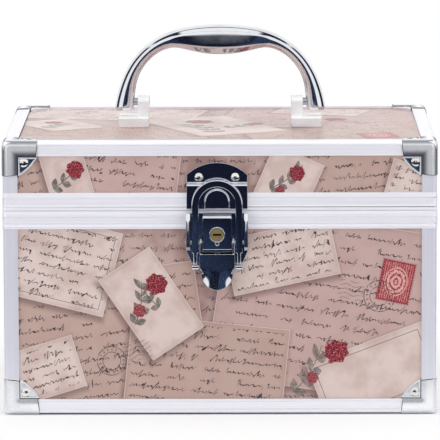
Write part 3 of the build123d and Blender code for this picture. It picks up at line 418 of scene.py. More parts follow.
def draw_sprig(sketch: Sketch, given: dict) -> dict:
    """Curved stem with paired leaves, drawn in grey wash and fine lines."""
    x, y = turned(sketch, given)
    off = y - x * x * given["Bow"]
    inside = sketch.fade(x, 0.0, 0.6) * sketch.fade(x - given["Length"], 0.0, -0.6)
    stem = sketch.fade(abs(off), 0.34, 0.14) * inside
    reach = x / given["Leaf"]
    part = (reach.of("FRACT") - 0.12) * given["Leaf"]
    side = abs(off + reach.of("FLOOR").of("SINE") * 0.6)
    leaf_x, leaf_y = part * 0.68 + side * 0.73, abs(side * 0.68 - part * 0.73)
    share = leaf_x / given["Leaf"]
    gap = leaf_y - share * (1.0 - share) * 1.15 * given["Leaf"]
    leaf = sketch.fade(gap, 0.1, -0.12) * inside
    hatch = ((leaf_x + leaf_y) * 5.2).of("SINE")
    wash = sketch.noise(given["Where"], 0.35, 2.0, flat=True)
    green = sketch.mix(sketch.fade(wash, 0.3, 0.7), tint(96, 92, 90), tint(158, 150, 142))
    green = sketch.mix(sketch.fade(hatch, 0.2, 0.9) * 0.55, green, tint(62, 58, 60))
    lines = sketch.larger(sketch.fade(leaf_y, 0.18, 0.05), sketch.fade(abs(gap), 0.2, 0.08))
    tone = sketch.mix(leaf, tint(70, 62, 60), sketch.mix(lines, green, tint(58, 52, 54)))
    return {"Colour": sketch.mix(sketch.larger(leaf, stem) * given["Strength"], given["Under"], tone)}


def draw_stamp(sketch: Sketch, given: dict) -> dict:
    """Perforated label with an engraved ground and a plain oval."""
    x, y = turned(sketch, given)
    teeth = (x * 4.2).of("COSINE") * (y * 4.2).of("COSINE")
    edge = teeth * 0.22 + box_distance(sketch, x, y, given["Half"])
    half_x, half_y, _ = sketch.split(given["Half"])
    out = sketch.length(x / half_x, y / half_y)
    rough = sketch.noise(given["Where"], 0.9, 3.0, 0.75, flat=True)
    rings = (rough * 9.0 + out * 26.0).of("SINE")
    lines = (rough * 12.0 + x * 5.0).of("SINE")
    ground = sketch.mix(sketch.fade(lines, -0.2, 1.0, 0.0, 0.75), given["Deep"], given["Pale"])
    oval = sketch.mix(sketch.fade(rings, -0.2, 0.9), given["Pale"], given["Deep"])
    face = sketch.mix(sketch.fade(out, 0.66, 0.6), ground, oval)
    face = sketch.mix(sketch.fade(abs(out - 0.68), 0.04, 0.02), face, given["Pale"])
    face = sketch.mix(sketch.fade(rough, 0.6, 0.72), face, tint(92, 16, 30))
    face = sketch.mix(sketch.fade(edge, -0.9, -0.7), face, given["Deep"])
    under = sketch.mix(sketch.fade(edge, 1.3, 0.0, 0.0, 0.35), given["Under"], tint(110, 82, 80))
    return {"Colour": sketch.mix(sketch.fade(edge, 0.1, -0.1), under, face)}


def draw_postmark(sketch: Sketch, given: dict) -> dict:
    """Two inked rings with ticks between them and wavy bars to one side."""
    x, y = turned(sketch, given)
    radius = given["Radius"]
    out = sketch.length(x, y)
    outer = sketch.fade(abs(out - radius), 0.42, 0.14)
    inner = sketch.fade(abs(out - radius * 0.62), 0.34, 0.1)
    ticks = sketch.fade((sketch.math("ARCTAN2", y, x) * 17.0).of("SINE"), 0.35, 0.8)
    ticks = ticks * sketch.fade(abs(out - radius * 0.81), 0.75, 0.45)
    wavy = (x * 0.75).of("SINE") * 0.55 + y
    bars = sketch.fade(abs((wavy * 1.25).of("SINE")), 0.26, 0.1)
    beside = sketch.fade(x, 0.0, 0.5) * sketch.fade(x, 24.0, 22.0) * sketch.fade(out - radius, 0.6, 1.0)
    bars = bars * beside * sketch.fade(abs(y), 5.4, 5.0)
    patchy = sketch.noise(given["Where"], 0.45, 3.0, 0.7, flat=True)
    shown = sketch.larger(outer, inner, ticks, bars) * sketch.fade(patchy, 0.32, 0.55, 0.15, 0.8)
    return {"Colour": sketch.mix(shown, given["Under"], tint(58, 50, 56))}


COLOUR_OUT = {"Colour": Socket.COLOUR}
KINDS = {1: Socket.VALUE, 3: Socket.VECTOR, 4: Socket.COLOUR}


@dataclass(frozen=True)
class Motif:
    """Something printed at one place: its middle in mm, its angle in degrees."""

    middle: Place = (0.0, 0.0)
    angle: float = 0.0

    def values(self) -> dict[str, object]:
        """The motif's sizes and colours as inputs of its node group, by name."""
        found = {field.name.capitalize(): getattr(self, field.name) for field in fields(self)}
        found["Angle"] = math.radians(self.angle)
        return {name: (*value, 0.0) if isinstance(value, tuple) and len(value) == 2 else value
                for name, value in found.items()}

    def draw(self, sketch: Sketch, under: Wire, where: Wire) -> Wire:
        """Prints the motif over a colour and returns the new colour."""
        effect = EFFECTS[type(self)]
        return effect.place(sketch, Under=under, Where=where, **self.values())["Colour"]

    @classmethod
    def effect(cls, name: str, build: Callable[[Sketch, dict], dict]) -> SharedEffect:
        """The node group that prints this kind of motif."""
        inputs = {"Under": (Socket.COLOUR, (1.0, 1.0, 1.0, 1.0)), "Where": (Socket.VECTOR, NOWHERE)}
        for label, value in cls().values().items():
            inputs[label] = (KINDS[len(value) if isinstance(value, tuple) else 1], value)
        return SharedEffect(name, inputs, COLOUR_OUT, build)


PALE = tint(219, 200, 194)
ROSE = tint(196, 166, 161)
SAND = tint(190, 163, 153)
BROWN_INK = tint(46, 32, 38)
BLACK_INK = tint(30, 24, 30)
FADED_RED = tint(176, 78, 88)


@dataclass(frozen=True)
class PaperSheet(Motif):
    """Letter, card or envelope."""

    half: Place = (40.0, 26.0)
    tone: Colour = PALE
    ink: Colour = BROWN_INK
    writing: float = 0.95
    pitch: float = 6.5
    seed: float = 1.0
    lift: float = 0.62
    frame: float = 0.0
    frame_inset: float = 3.5


@dataclass(frozen=True)
class Flower(Motif):
    """Flower head."""

    radius: float = 8.0
    seed: float = 0.0
    deep: Colour = tint(124, 22, 40)
    bright: Colour = tint(158, 34, 54)
    pale: Colour = tint(226, 170, 168)


@dataclass(frozen=True)
class LeafSprig(Motif):
    """Stem with leaves."""

    length: float = 30.0
    leaf: float = 7.0
    bow: float = 0.01
    strength: float = 0.9


@dataclass(frozen=True)
class PostageLabel(Motif):
    """Perforated label."""

    half: Place = (9.0, 11.0)
    deep: Colour = tint(158, 36, 52)
    pale: Colour = tint(222, 170, 164)


@dataclass(frozen=True)
class InkRings(Motif):
    """Cancelling mark."""

    radius: float = 9.0


EFFECTS = {
    PaperSheet: PaperSheet.effect("Sheet of paper", draw_sheet),
    Flower: Flower.effect("Blossom", draw_blossom),
    LeafSprig: LeafSprig.effect("Sprig", draw_sprig),
    PostageLabel: PostageLabel.effect("Stamp", draw_stamp),
    InkRings: InkRings.effect("Postmark", draw_postmark),
}

# Own layout, bottom to top, in mm from the middle of the case's foot.
BODY_PRINT: tuple[Motif, ...] = (
    PaperSheet((-70.0, 34.0), 8.0, half=(62.0, 44.0), tone=SAND, seed=3.0, pitch=6.8),
    PaperSheet((64.0, 60.0), -9.0, half=(66.0, 48.0), tone=ROSE, seed=9.0, pitch=7.4),
    PaperSheet((-8.0, 22.0), -6.0, half=(44.0, 30.0), tone=SAND, seed=14.0, pitch=6.2),
    PaperSheet((-92.0, 86.0), -14.0, half=(34.0, 24.0), seed=21.0, pitch=5.6, frame=0.6),
    PaperSheet((86.0, 22.0), 21.0, half=(34.0, 19.0), seed=31.0, writing=0.0, frame=0.7),
    PaperSheet((-38.0, 62.0), 34.0, half=(17.0, 27.0), seed=33.0, writing=0.0),
    LeafSprig((-47.0, 50.0), 66.0, length=24.0, leaf=6.4, bow=0.012),
    LeafSprig((-33.0, 60.0), 148.0, length=13.0, leaf=5.2, bow=-0.02),
    Flower((-35.0, 73.0), 10.0, radius=6.6, seed=2.0),
    Flower((-44.5, 58.0), 0.0, radius=4.0, seed=5.0, bright=FADED_RED),
    PaperSheet((34.0, 88.0), 12.0, half=(30.0, 16.0), seed=41.0, pitch=5.2, ink=BLACK_INK),
    PostageLabel((97.0, 74.0), -12.0, half=(9.0, 11.4)),
    InkRings((88.0, 66.0), 168.0, radius=8.6),
    PaperSheet((-99.0, 24.0), 17.0, half=(22.0, 15.0), seed=47.0, pitch=5.0, ink=BLACK_INK),
    InkRings((-60.0, 30.0), 20.0, radius=8.0),
    LeafSprig((40.0, 12.0), 42.0, length=30.0, leaf=7.2, bow=0.01, strength=0.75),
    Flower((64.0, 35.0), 0.0, radius=7.2, seed=8.0),
    Flower((51.0, 20.5), 0.0, radius=3.6, seed=11.0, bright=FADED_RED),
)

LID_PRINT: tuple[Motif, ...] = (
    PaperSheet((-104.0, 132.0), 12.0, half=(26.0, 15.0), tone=SAND, seed=53.0, pitch=5.6),
    PaperSheet((-52.0, 138.0), -7.0, half=(30.0, 17.0), tone=ROSE, seed=58.0, pitch=6.0),
    PaperSheet((-84.0, 133.0), 16.0, half=(12.0, 16.0), seed=60.0, writing=0.0),
    LeafSprig((-92.0, 126.0), 30.0, length=18.0, leaf=5.6, bow=0.012),
    Flower((-79.5, 137.0), 0.0, radius=5.4, seed=14.0),
    PaperSheet((76.0, 136.0), 5.0, half=(44.0, 20.0), tone=SAND, seed=63.0, pitch=6.6),
    PaperSheet((38.0, 131.0), -24.0, half=(15.0, 15.0), seed=66.0, writing=0.0),
    LeafSprig((27.0, 126.0), 18.0, length=22.0, leaf=5.4, bow=0.014),
    Flower((42.5, 134.5), 0.0, radius=4.8, seed=17.0),
    Flower((33.0, 124.8), 0.0, radius=3.0, seed=19.0, bright=FADED_RED),
    PaperSheet((104.0, 128.0), -16.0, half=(12.0, 12.0), seed=71.0, pitch=5.0),
)

TOP_PRINT: tuple[Motif, ...] = (
    PaperSheet((-66.0, -28.0), 5.0, half=(56.0, 40.0), tone=SAND, seed=5.0, pitch=6.6),
    PaperSheet((62.0, 30.0), -8.0, half=(60.0, 44.0), tone=ROSE, seed=17.0, pitch=7.2),
    PaperSheet((66.0, -46.0), 11.0, half=(50.0, 26.0), tone=SAND, seed=23.0, pitch=6.0),
    PaperSheet((-62.0, 52.0), -12.0, half=(50.0, 28.0), seed=27.0, pitch=6.4, frame=0.5),
    PaperSheet((-4.0, -4.0), 27.0, half=(27.0, 40.0), seed=29.0, writing=0.0),
    LeafSprig((-2.0, -34.0), 104.0, length=40.0, leaf=9.0, bow=0.006),
    LeafSprig((2.0, -12.0), 30.0, length=22.0, leaf=7.0, bow=0.012),
    Flower((-12.0, 14.0), 0.0, radius=9.0, seed=21.0),
    Flower((20.0, 4.0), 0.0, radius=5.6, seed=23.0, bright=FADED_RED),
    PaperSheet((-92.0, 2.0), 31.0, half=(17.0, 24.0), seed=35.0, writing=0.0),
    LeafSprig((-98.0, -12.0), 74.0, length=22.0, leaf=6.4, bow=-0.012),
    Flower((-95.0, 12.0), 0.0, radius=6.0, seed=25.0),
    PostageLabel((88.0, -50.0), 14.0, half=(9.6, 11.6)),
    InkRings((76.0, -54.0), 188.0, radius=8.4),
    PaperSheet((58.0, 62.0), -19.0, half=(26.0, 15.0), seed=39.0, pitch=5.4, ink=BLACK_INK),
    LeafSprig((84.0, 4.0), 138.0, length=26.0, leaf=7.0, bow=0.012, strength=0.75),
    Flower((66.0, 24.0), 0.0, radius=7.4, seed=27.0),
)

class Collage:
    """A laminated print: a ground of old letters with its motifs laid over it."""

    def __init__(self, name: str, motifs: Sequence[Motif]) -> None:
        """Keeps the name of the node group and the motifs, bottom to top."""
        self.motifs = motifs
        self.effect = SharedEffect(name, {"Where": (Socket.VECTOR, NOWHERE)}, COLOUR_OUT, self.draw)

    def draw(self, sketch: Sketch, given: dict) -> dict:
        """Lays the motifs one over the other."""
        where = given["Where"]
        cloud = sketch.noise(where, 0.03, 3.0, 0.6, flat=True)
        ground = sketch.mix(sketch.fade(cloud, 0.35, 0.65), tint(194, 167, 160), tint(160, 129, 125))
        x, y, _ = sketch.split(where)
        lines = pen_lines(sketch, x, y, 6.9, 77.0)
        colour = sketch.mix(lines * 0.85, ground, tint(58, 42, 48))
        for motif in self.motifs:
            colour = motif.draw(sketch, colour, where)
        return {"Colour": colour}


# ------------------------------------------------------------------ finishes
class Run(Enum):
    """Which way the brushing of a piece runs."""

    ALONG_X = 0
    ALONG_Z = 1
    AROUND = 2


@dataclass(frozen=True)
class Finish:
    """A surface finish. Subclasses draw its pattern."""

    name: str
    slot: str
    colour: Colour
    metallic: float = 0.0
    roughness: float = 0.5
    specular: float = 0.5
    sheen: float = 0.0
    bump_mm = 0.01

    def pattern(self, sketch: Sketch, where: Wire) -> dict:
        """Values for the shader, by input name; Height, if given, becomes a bump."""
        return {}

    def shade(self, share: float) -> Colour:
        """The finish's colour, multiplied."""
        return (*(share * channel for channel in self.colour[:3]), 1.0)

    def material(self) -> bpy.types.Material:
        """The node material, made on first use."""
        made = bpy.data.materials.get(self.name)
        if made:
            return made
        made, sketch = new_material(self.name)
        made.diffuse_color = self.colour
        feeds = {"Base Color": self.colour, "Metallic": self.metallic, "Roughness": self.roughness,
                 "Specular IOR Level": self.specular, "Sheen Weight": self.sheen}
        feeds.update(self.pattern(sketch, sketch.place()))
        if "Height" in feeds:
            bump = {"Height": feeds.pop("Height"), "Strength": 1.0, "Distance": self.bump_mm * MM}
            feeds["Normal"] = sketch.take("ShaderNodeBump", feeds=bump)
        shader = sketch.take("ShaderNodeBsdfPrincipled", feeds=feeds)
        sketch.add("ShaderNodeOutputMaterial", {"Surface": shader})
        return made


@dataclass(frozen=True)
class Aluminium(Finish):
    """Satin anodised aluminium, finely brushed along its length."""

    run: Run = Run.AROUND
    turn_at: float = 0.1110
    bump_mm = 0.012

    def pattern(self, sketch: Sketch, where: Wire) -> dict:
        """Brushing along the bar, with faint cloudy handling."""
        x, y, z = sketch.split(where)
        along = sketch.combine(z, x, y) if self.run is Run.ALONG_Z else where
        if self.run is Run.AROUND:
            side = sketch.fade(abs(x), self.turn_at, self.turn_at + 0.0002, smooth=False)
            along = sketch.mix(side, along, sketch.combine(y, x, z), vectors=True)
        brushed = BRUSHING.place(sketch, Vector=along)
        touched = HANDLING.place(sketch, Vector=where, Scale=24.0)
        return {"Base Color": sketch.mix(brushed["Streaks"] * 0.5, self.colour, self.shade(0.86)),
                "Roughness": touched["Smudges"] * 0.07 + self.roughness, "Height": brushed["Height"]}


@dataclass(frozen=True)
class Chrome(Finish):
    """Polished plating with faint smudges and hair marks."""

    bump_mm = 0.004

    def pattern(self, sketch: Sketch, where: Wire) -> dict:
        """Smudged gloss."""
        touched = HANDLING.place(sketch, Vector=where, Scale=70.0)
        return {"Base Color": sketch.mix(touched["Smudges"], self.colour, self.shade(0.9)),
                "Roughness": touched["Marks"] * 0.10 + (touched["Smudges"] * 0.06 + self.roughness),
                "Height": sketch.noise(where, 160.0, 1.0)}


@dataclass(frozen=True)
class CrownedPlating(Chrome):
    """Plating of the swelling corner bands, with painted reflections: left bright along their crown as a
    painted highlight, painted darker towards both edges as shade.

    The painted dark reflection is lighter on the lower corners than on the upper ones.
    """

    half: tuple[float, float, float] = (0.120, 0.085, 0.0765)
    crown: float = 0.0043
    crown_reach: Place = (0.0004, 0.0040)
    painted_dark_reflection: Colour = tint(104, 108, 119)
    painted_reflection_below: Colour = tint(222, 225, 231)
    painted_reflection_heights: Place = (0.03, 0.12)

    def pattern(self, sketch: Sketch, where: Wire) -> dict:
        """Smudged gloss, with a painted highlight along the crown and a painted dark reflection away from
        it.
        """
        drawn = super().pattern(sketch, where)
        centred = sketch.vector("SUBTRACT", where, (0.0, 0.0, self.half[2]))
        gaps = sketch.split(sketch.vector("SUBTRACT", self.half, sketch.vector("ABSOLUTE", centred)))
        # The middle one of the three distances from the case's faces runs across the band.
        lower = sketch.math("MINIMUM", gaps[0], gaps[1])
        across = sketch.larger(lower, sketch.math("MINIMUM", sketch.larger(gaps[0], gaps[1]), gaps[2]))
        # Painted highlight along the crown; away from it the colour is painted darker as shade.
        share = sketch.fade(abs(across - self.crown), *self.crown_reach)
        # Painted reflection: darker on the upper corners, lighter on the lower ones.
        painted_dark_reflection = sketch.mix(sketch.fade(sketch.split(where)[2], *self.painted_reflection_heights), self.painted_reflection_below, self.painted_dark_reflection)
        return {**drawn, "Base Color": sketch.mix(share, drawn["Base Color"], painted_dark_reflection)}


@dataclass(frozen=True)
class Keyway(Chrome):
    """Brass of the lock plug, with painted shade inside its key slot."""

    face: float = -0.09225
    painted_slot_shade: Colour = tint(16, 13, 10)

    def pattern(self, sketch: Sketch, where: Wire) -> dict:
        """Smudged brass, with shade painted dark behind its face."""
        drawn = super().pattern(sketch, where)
        # Painted shade: the key slot behind the plug's face is coloured nearly black.
        behind = sketch.fade(sketch.split(where)[1], self.face, self.face + 0.0002)
        return {**drawn, "Base Color": sketch.mix(behind, drawn["Base Color"], self.painted_slot_shade)}


@dataclass(frozen=True)
class Print(Finish):
    """Laminated printed board."""

    collage: Collage | None = None
    turn: tuple[float, float, float] = NOWHERE
    shift: Place = (0.0, 0.0)
    bump_mm = 0.02

    def pattern(self, sketch: Sketch, where: Wire) -> dict:
        """The collage, laid flat on the panel."""
        flat = sketch.take("ShaderNodeMapping", feeds={
            "Vector": where, "Location": (*self.shift, 0.0),
            "Rotation": tuple(math.radians(a) for a in self.turn), "Scale": (1 / MM, 1 / MM, 1 / MM)})
        x, y, _ = sketch.split(flat)
        touched = HANDLING.place(sketch, Vector=where, Scale=20.0)
        return {"Base Color": self.collage.effect.place(sketch, Where=sketch.combine(x, y))["Colour"],
                "Roughness": touched["Smudges"] * 0.08 + self.roughness,
                "Height": sketch.noise(where, 700.0, 2.0)}


@dataclass(frozen=True)
class Felt(Finish):
    """Black lining cloth."""

    bump_mm = 0.12

    def pattern(self, sketch: Sketch, where: Wire) -> dict:
        """Matted fibres with a little lint."""
        cloth = FELT.place(sketch, Vector=where)
        return {"Base Color": sketch.mix(cloth["Lint"], self.colour, self.shade(2.2)),
                "Height": cloth["Height"]}


@dataclass(frozen=True)
class Moulded(Finish):
    """Grained moulded plastic."""

    grain: float = 900.0
    bump_mm = 0.05

    def pattern(self, sketch: Sketch, where: Wire) -> dict:
        """Pebbled grain."""
        skin = GRAIN.place(sketch, Vector=where, Scale=self.grain)
        return {"Base Color": sketch.mix(skin["Hollows"], self.shade(0.7), self.colour),
                "Roughness": skin["Hollows"] * 0.16 + self.roughness, "Height": skin["Height"]}


SATIN = tint(248, 247, 255)
RIMS = Aluminium("Ribbed belt aluminium", "aluminium", SATIN, metallic=0.20, roughness=0.36)
RAILS = Aluminium("Rail aluminium", "aluminium", SATIN, metallic=0.20, roughness=0.36)
POSTS = Aluminium("Post aluminium", "aluminium", tint(233, 233, 245), metallic=0.30, roughness=0.40,
                  run=Run.ALONG_Z)
HINGE = Aluminium("Hinge steel", "steel", tint(206, 207, 212), metallic=0.8, roughness=0.36,
                  run=Run.ALONG_X)
# Corner band: plating with a painted highlight along its crown and a painted dark reflection towards its
# edges and on the upper corners.
BAND = CrownedPlating("Corner band", "chrome", tint(250, 251, 254), metallic=0.50, roughness=0.20)
WEB = Chrome("Corner web chrome", "chrome", tint(226, 230, 236), metallic=1.0, roughness=0.12)
# Painted shade: dark chrome on the band's steep inner wall and the step before each leg's end, where shade
# falls.
PAINTED_CREASE_SHADE = Chrome("Crease painted shade", "chrome", tint(34, 36, 42), metallic=0.9, roughness=0.50)
# Painted highlight: a pale, mostly diffuse plating on the web's rim and the flange at each leg's end,
# bright from any side.
PAINTED_HIGHLIGHT_EDGE = Chrome("Edge painted highlight", "chrome", tint(244, 245, 248), metallic=0.45, roughness=0.42)
BRACKETS = Chrome("Bracket nickel", "chrome", tint(252, 252, 254), metallic=0.14, roughness=0.24)
PLATING = Chrome("Latch chrome", "chrome", tint(232, 235, 242), metallic=1.0, roughness=0.05)
GRIP = Chrome("Handle chrome", "chrome", tint(234, 236, 240), metallic=1.0, roughness=0.045)
NICKEL = Chrome("Rivet nickel", "rivet", tint(236, 234, 230), metallic=1.0, roughness=0.09)
STEEL = Chrome("Zinc steel", "steel", tint(186, 188, 192), metallic=1.0, roughness=0.28)
BRASS = Keyway("Lock brass", "brass", tint(228, 202, 142), metallic=0.85, roughness=0.34)
LINING = Felt("Black felt", "lining", tint(22, 22, 24), roughness=0.95, specular=0.2, sheen=0.35)
TRAYS = Moulded("Grained tray plastic", "tray_plastic", tint(30, 30, 33), roughness=0.42)
CLIPS = Moulded("Clip plastic", "clip_plastic", tint(200, 200, 200), roughness=0.35, grain=1400.0)
GLASS = Chrome("Mirror", "mirror", tint(238, 242, 242), metallic=1.0, roughness=0.0)

# ------------------------------------------------------------------ pieces from the frame
def dress(finish: Finish, *names: str) -> None:
    """Gives CAD nodes their finish, by name."""
    for name in names:
        node = frame["nodes"][name]
        node.data.materials.clear()
        node.data.materials.append(finish.material())
        log.info("node %s: %s", name, finish.name)


def everything(form: bmesh.types.BMesh) -> list:
    """All vertices, edges and faces of a mesh."""
    return [*form.verts, *form.edges, *form.faces]


def verts_of(grown: dict) -> list[bmesh.types.BMVert]:
    """The vertices among what a bmesh operator made."""
    return [item for item in grown["geom"] if isinstance(item, bmesh.types.BMVert)]


def is_sharp(edge: bmesh.types.BMEdge, degrees: float) -> bool:
    """Whether two faces meet at an edge with more than an angle between them."""
    return len(edge.link_faces) == 2 and edge.calc_face_angle(0.0) > math.radians(degrees)


def cut_across(form: bmesh.types.BMesh, normal: Vector, places: Iterable[float]) -> None:
    """Cuts a mesh in metres by planes square to a direction, at places in mm along it."""
    for place in places:
        bmesh.ops.bisect_plane(form, geom=everything(form), dist=CUT_TOLERANCE,
                               plane_co=normal * place * MM, plane_no=normal)


def new_object(name: str, form: bmesh.types.BMesh,
               materials: Iterable[bpy.types.Material]) -> bpy.types.Object:
    """Turns a bmesh, which is freed, into an object of the scene with its materials."""
    mesh = bpy.data.meshes.new(name)
    form.to_mesh(mesh)
    form.free()
    for material in materials:
        mesh.materials.append(material)
    made = bpy.data.objects.new(name, mesh)
    bpy.context.scene.collection.objects.link(made)
    return made


def as_piece(form: bmesh.types.BMesh, name: str, body: str, finish: Finish,
             crisp: float | None = None, others: Sequence[Finish] = ()) -> bpy.types.Object:
    """Turns a finished bmesh, in metres and in place, into a piece of the object.

    Args:
        form: the mesh, which is freed.
        name: the piece's name.
        body: the CAD body it rides on.
        finish: its finish.
        crisp: edges sharper than this many degrees are shaded as edges.
        others: finishes of the faces with material index 1 and up.

    Returns:
        The new object.
    """
    for face in form.faces:
        face.smooth = True
    if crisp is not None:
        for edge in form.edges:
            if is_sharp(edge, crisp):
                edge.smooth = False
    piece = new_object(name, form, [coat.material() for coat in (finish, *others)])
    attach(piece, body)
    log.info("piece %s on %s: %d faces", name, body, len(piece.data.polygons))
    return piece


def merged_copy(node: str) -> bmesh.types.BMesh:
    """Copy of a CAD node's mesh, its loose triangles merged into flat faces."""
    form = bmesh.new()
    form.from_mesh(frame["nodes"][node].data)
    bmesh.ops.remove_doubles(form, verts=form.verts, dist=WELD_MM * MM)
    bmesh.ops.dissolve_limit(form, angle_limit=math.radians(FLAT_ANGLE), verts=form.verts,
                             edges=form.edges)
    return form


def finished(form: bmesh.types.BMesh, node: str, body: str, finish: Finish, width_mm: float) -> None:
    """Replaces a CAD node by a mesh of its shape, edges rounded a little so that they catch the light.

    Args:
        form: the mesh, which is freed.
        node: node name.
        body: the CAD body it rides on.
        finish: its finish.
        width_mm: size of the rounding.
    """
    piece = as_piece(form, node + "_finished", body, finish)
    bevel = piece.modifiers.new("Edges", "BEVEL")
    bevel.width = width_mm * MM
    bevel.segments = 2
    bevel.limit_method = "ANGLE"
    bevel.angle_limit = math.radians(ROUNDED_ANGLE)
    bevel.use_clamp_overlap = False
    normals = piece.modifiers.new("Normals", "WEIGHTED_NORMAL")
    normals.weight = 100
    normals.keep_sharp = True
    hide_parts(node)


# ------------------------------------------------------------------ studio
@dataclass
class Studio:
    """Pale floor, soft light, the photograph's camera and dark flags for the metal to show."""

    lens_mm: float = 355.9
    sensor_mm: float = 36.0
    camera_mm: tuple[float, float, float] = (12.70, -2453.05, 453.5)
    pitch: float = 0.14451
    yaw: float = -0.00532
    roll: float = -0.0030
    flag: Colour = tint(24, 28, 44)
    flag_glint: Colour = tint(48, 62, 88)
    flag_soft: float = 0.22
    flag_distance: float = 0.62
    flag_below: float = 0.05
    ground: Place = (0.120, 0.085)
    ground_fade: Place = (0.065, 0.12)
    floor_half: float = 8.0
    floor_drop: float = 0.0002
    floor_tones: tuple[Colour, Colour] = ((0.90, 0.90, 0.90, 1.0), (0.93, 0.93, 0.935, 1.0))
    shadow_reach: float = 0.16
    room_light: float = 0.62
    aim: tuple[float, float, float] = (0.0, 0.0, 0.08)

    def place_camera(self) -> None:
        """Camera at the photograph's viewing angle."""
        ahead = Vector((math.sin(self.yaw), math.cos(self.yaw), 0.0))
        forward = ahead * math.cos(self.pitch) - UP * math.sin(self.pitch)
        level = Vector((math.cos(self.yaw), -math.sin(self.yaw), 0.0))
        upright = level.cross(forward)
        right = level * math.cos(self.roll) + upright * math.sin(self.roll)
        up = upright * math.cos(self.roll) - level * math.sin(self.roll)
        lens = bpy.data.cameras.new("Camera")
        lens.lens = self.lens_mm
        lens.sensor_width = self.sensor_mm
        lens.clip_end = 50.0
        camera = bpy.data.objects.new("Camera", lens)
        bpy.context.scene.collection.objects.link(camera)
        turned_axes = Matrix((right, up, -forward)).transposed().to_4x4()
        camera.matrix_world = Matrix.Translation(Vector(self.camera_mm) * MM) @ turned_axes
        bpy.context.scene.camera = camera

    def light(self, name: str, place: Vector, size: Place, power: float) -> None:
        """Adds a softbox that faces the case.

        Args:
            name: its name.
            place: its middle, in metres.
            size: width and height, in metres.
            power: watts.
        """
        lamp = bpy.data.lights.new(name, "AREA")
        lamp.shape = "RECTANGLE"
        lamp.size, lamp.size_y = size
        lamp.energy = power
        box = bpy.data.objects.new(name, lamp)
        aim = Vector(self.aim) - place
        box.matrix_world = Matrix.Translation(place) @ aim.to_track_quat("-Z", "Y").to_matrix().to_4x4()
        box.visible_glossy = False
        box.visible_camera = False
        bpy.context.scene.collection.objects.link(box)

    def square(self, name: str, place: Matrix, material: bpy.types.Material) -> bpy.types.Object:
        """Adds a flat square, 2 m wide before it is placed, for the studio."""
        form = bmesh.new()
        bmesh.ops.create_grid(form, x_segments=1, y_segments=1, size=1.0)
        bmesh.ops.transform(form, matrix=place, verts=form.verts)
        made = new_object(name, form, [material])
        return made

    def card(self, name: str, middle: Vector, half: Place, facing: Vector) -> None:
        """Adds a dark flag that only mirrors see, soft at its rim.

        Args:
            name: its name.
            middle: its middle, in metres.
            half: half width and half height, in metres.
            facing: direction it faces.
        """
        turn = facing.to_track_quat("Z", "Y").to_matrix().to_4x4()
        place = Matrix.Translation(middle) @ turn @ Matrix.Diagonal((*half, 1.0, 1.0))
        across = turn @ Vector((1.0, 0.0, 0.0)) / half[0]
        upward = turn @ Vector((0.0, 1.0, 0.0)) / half[1]
        flag = self.square(name, place, self.flag_material(name, middle, across, upward))
        flag.visible_camera = False
        flag.visible_diffuse = False
        flag.visible_shadow = False
        flag.visible_transmission = False

    def beside(self, sketch: Sketch, where: Wire) -> Wire:
        """Distance from the case's own ground, negative over it."""
        x, y, _ = sketch.split(where)
        return sketch.larger(abs(x) - self.ground[0], abs(y) - self.ground[1])

    def seen(self, sketch: Sketch) -> Wire:
        """1 for what the camera sees, straight, mirrored or through glass."""
        path = sketch.add("ShaderNodeLightPath")
        rays = ("Is Camera Ray", "Is Glossy Ray", "Is Transmission Ray")
        return sketch.larger(*(Wire(sketch, path.outputs[ray]) for ray in rays))

    def flag_material(self, name: str, middle: Vector, across: Vector,
                      upward: Vector) -> bpy.types.Material:
        """Dark cloth that gives off its own colour, so that no light changes it.

        Args:
            name: the flag's name.
            middle: its middle.
            across: direction of its width, over its half width.
            upward: direction of its height, over its half height.

        Returns:
            The material, which fades out towards the flag's rim and over the case's own ground.
        """
        made, sketch = new_material(name)
        where = sketch.place()
        cloud = sketch.noise(where, 9.0, 2.0)
        colour = sketch.mix(sketch.fade(cloud, 0.4, 0.62), self.flag, self.flag_glint)
        place = sketch.vector("SUBTRACT", where, tuple(middle))
        reach = [abs(sketch.vector("DOT_PRODUCT", place, tuple(axis), output="Value"))
                 for axis in (across, upward)]
        rim = sketch.fade(sketch.larger(*reach), 1.0 - self.flag_soft, 1.0, 1.0, 0.0)
        sketch.show(rim * sketch.fade(self.beside(sketch, where), *self.ground_fade),
                    sketch.take("ShaderNodeBsdfTransparent"),
                    sketch.take("ShaderNodeEmission", feeds={"Color": colour}))
        return made

    def floor(self) -> None:
        """Pale floor that keeps the case's shadow."""
        made, sketch = new_material("Floor")
        where = sketch.place()
        tone = sketch.mix(sketch.noise(where, 5.0, 2.0), *self.floor_tones)
        clear = self.beside(sketch, where)
        away = sketch.fade(clear, -0.003, 0.004) * sketch.fade(clear, 0.0, self.shadow_reach, 0.62, 1.0)
        sketch.show(self.seen(sketch) * away,
                    sketch.take("ShaderNodeBsdfDiffuse", feeds={"Color": tone}),
                    sketch.take("ShaderNodeEmission", feeds={"Color": WHITE, "Strength": 1.0}))
        size = Matrix.Diagonal((self.floor_half, self.floor_half, 1.0, 1.0))
        self.square("Floor", Matrix.Translation((0.0, 0.0, -self.floor_drop)) @ size, made)

    def world(self) -> None:
        """White room: seen and mirrored as white, lighting the case at a plain level."""
        world = bpy.data.worlds.new("Studio")
        bpy.context.scene.world = world
        world.use_nodes = True
        sketch = Sketch(world.node_tree)
        strength = sketch.fade(self.seen(sketch), 0.0, 1.0, self.room_light, 1.0, smooth=False)
        back = sketch.take("ShaderNodeBackground", feeds={"Color": WHITE, "Strength": strength})
        sketch.add("ShaderNodeOutputWorld", {"Surface": back})

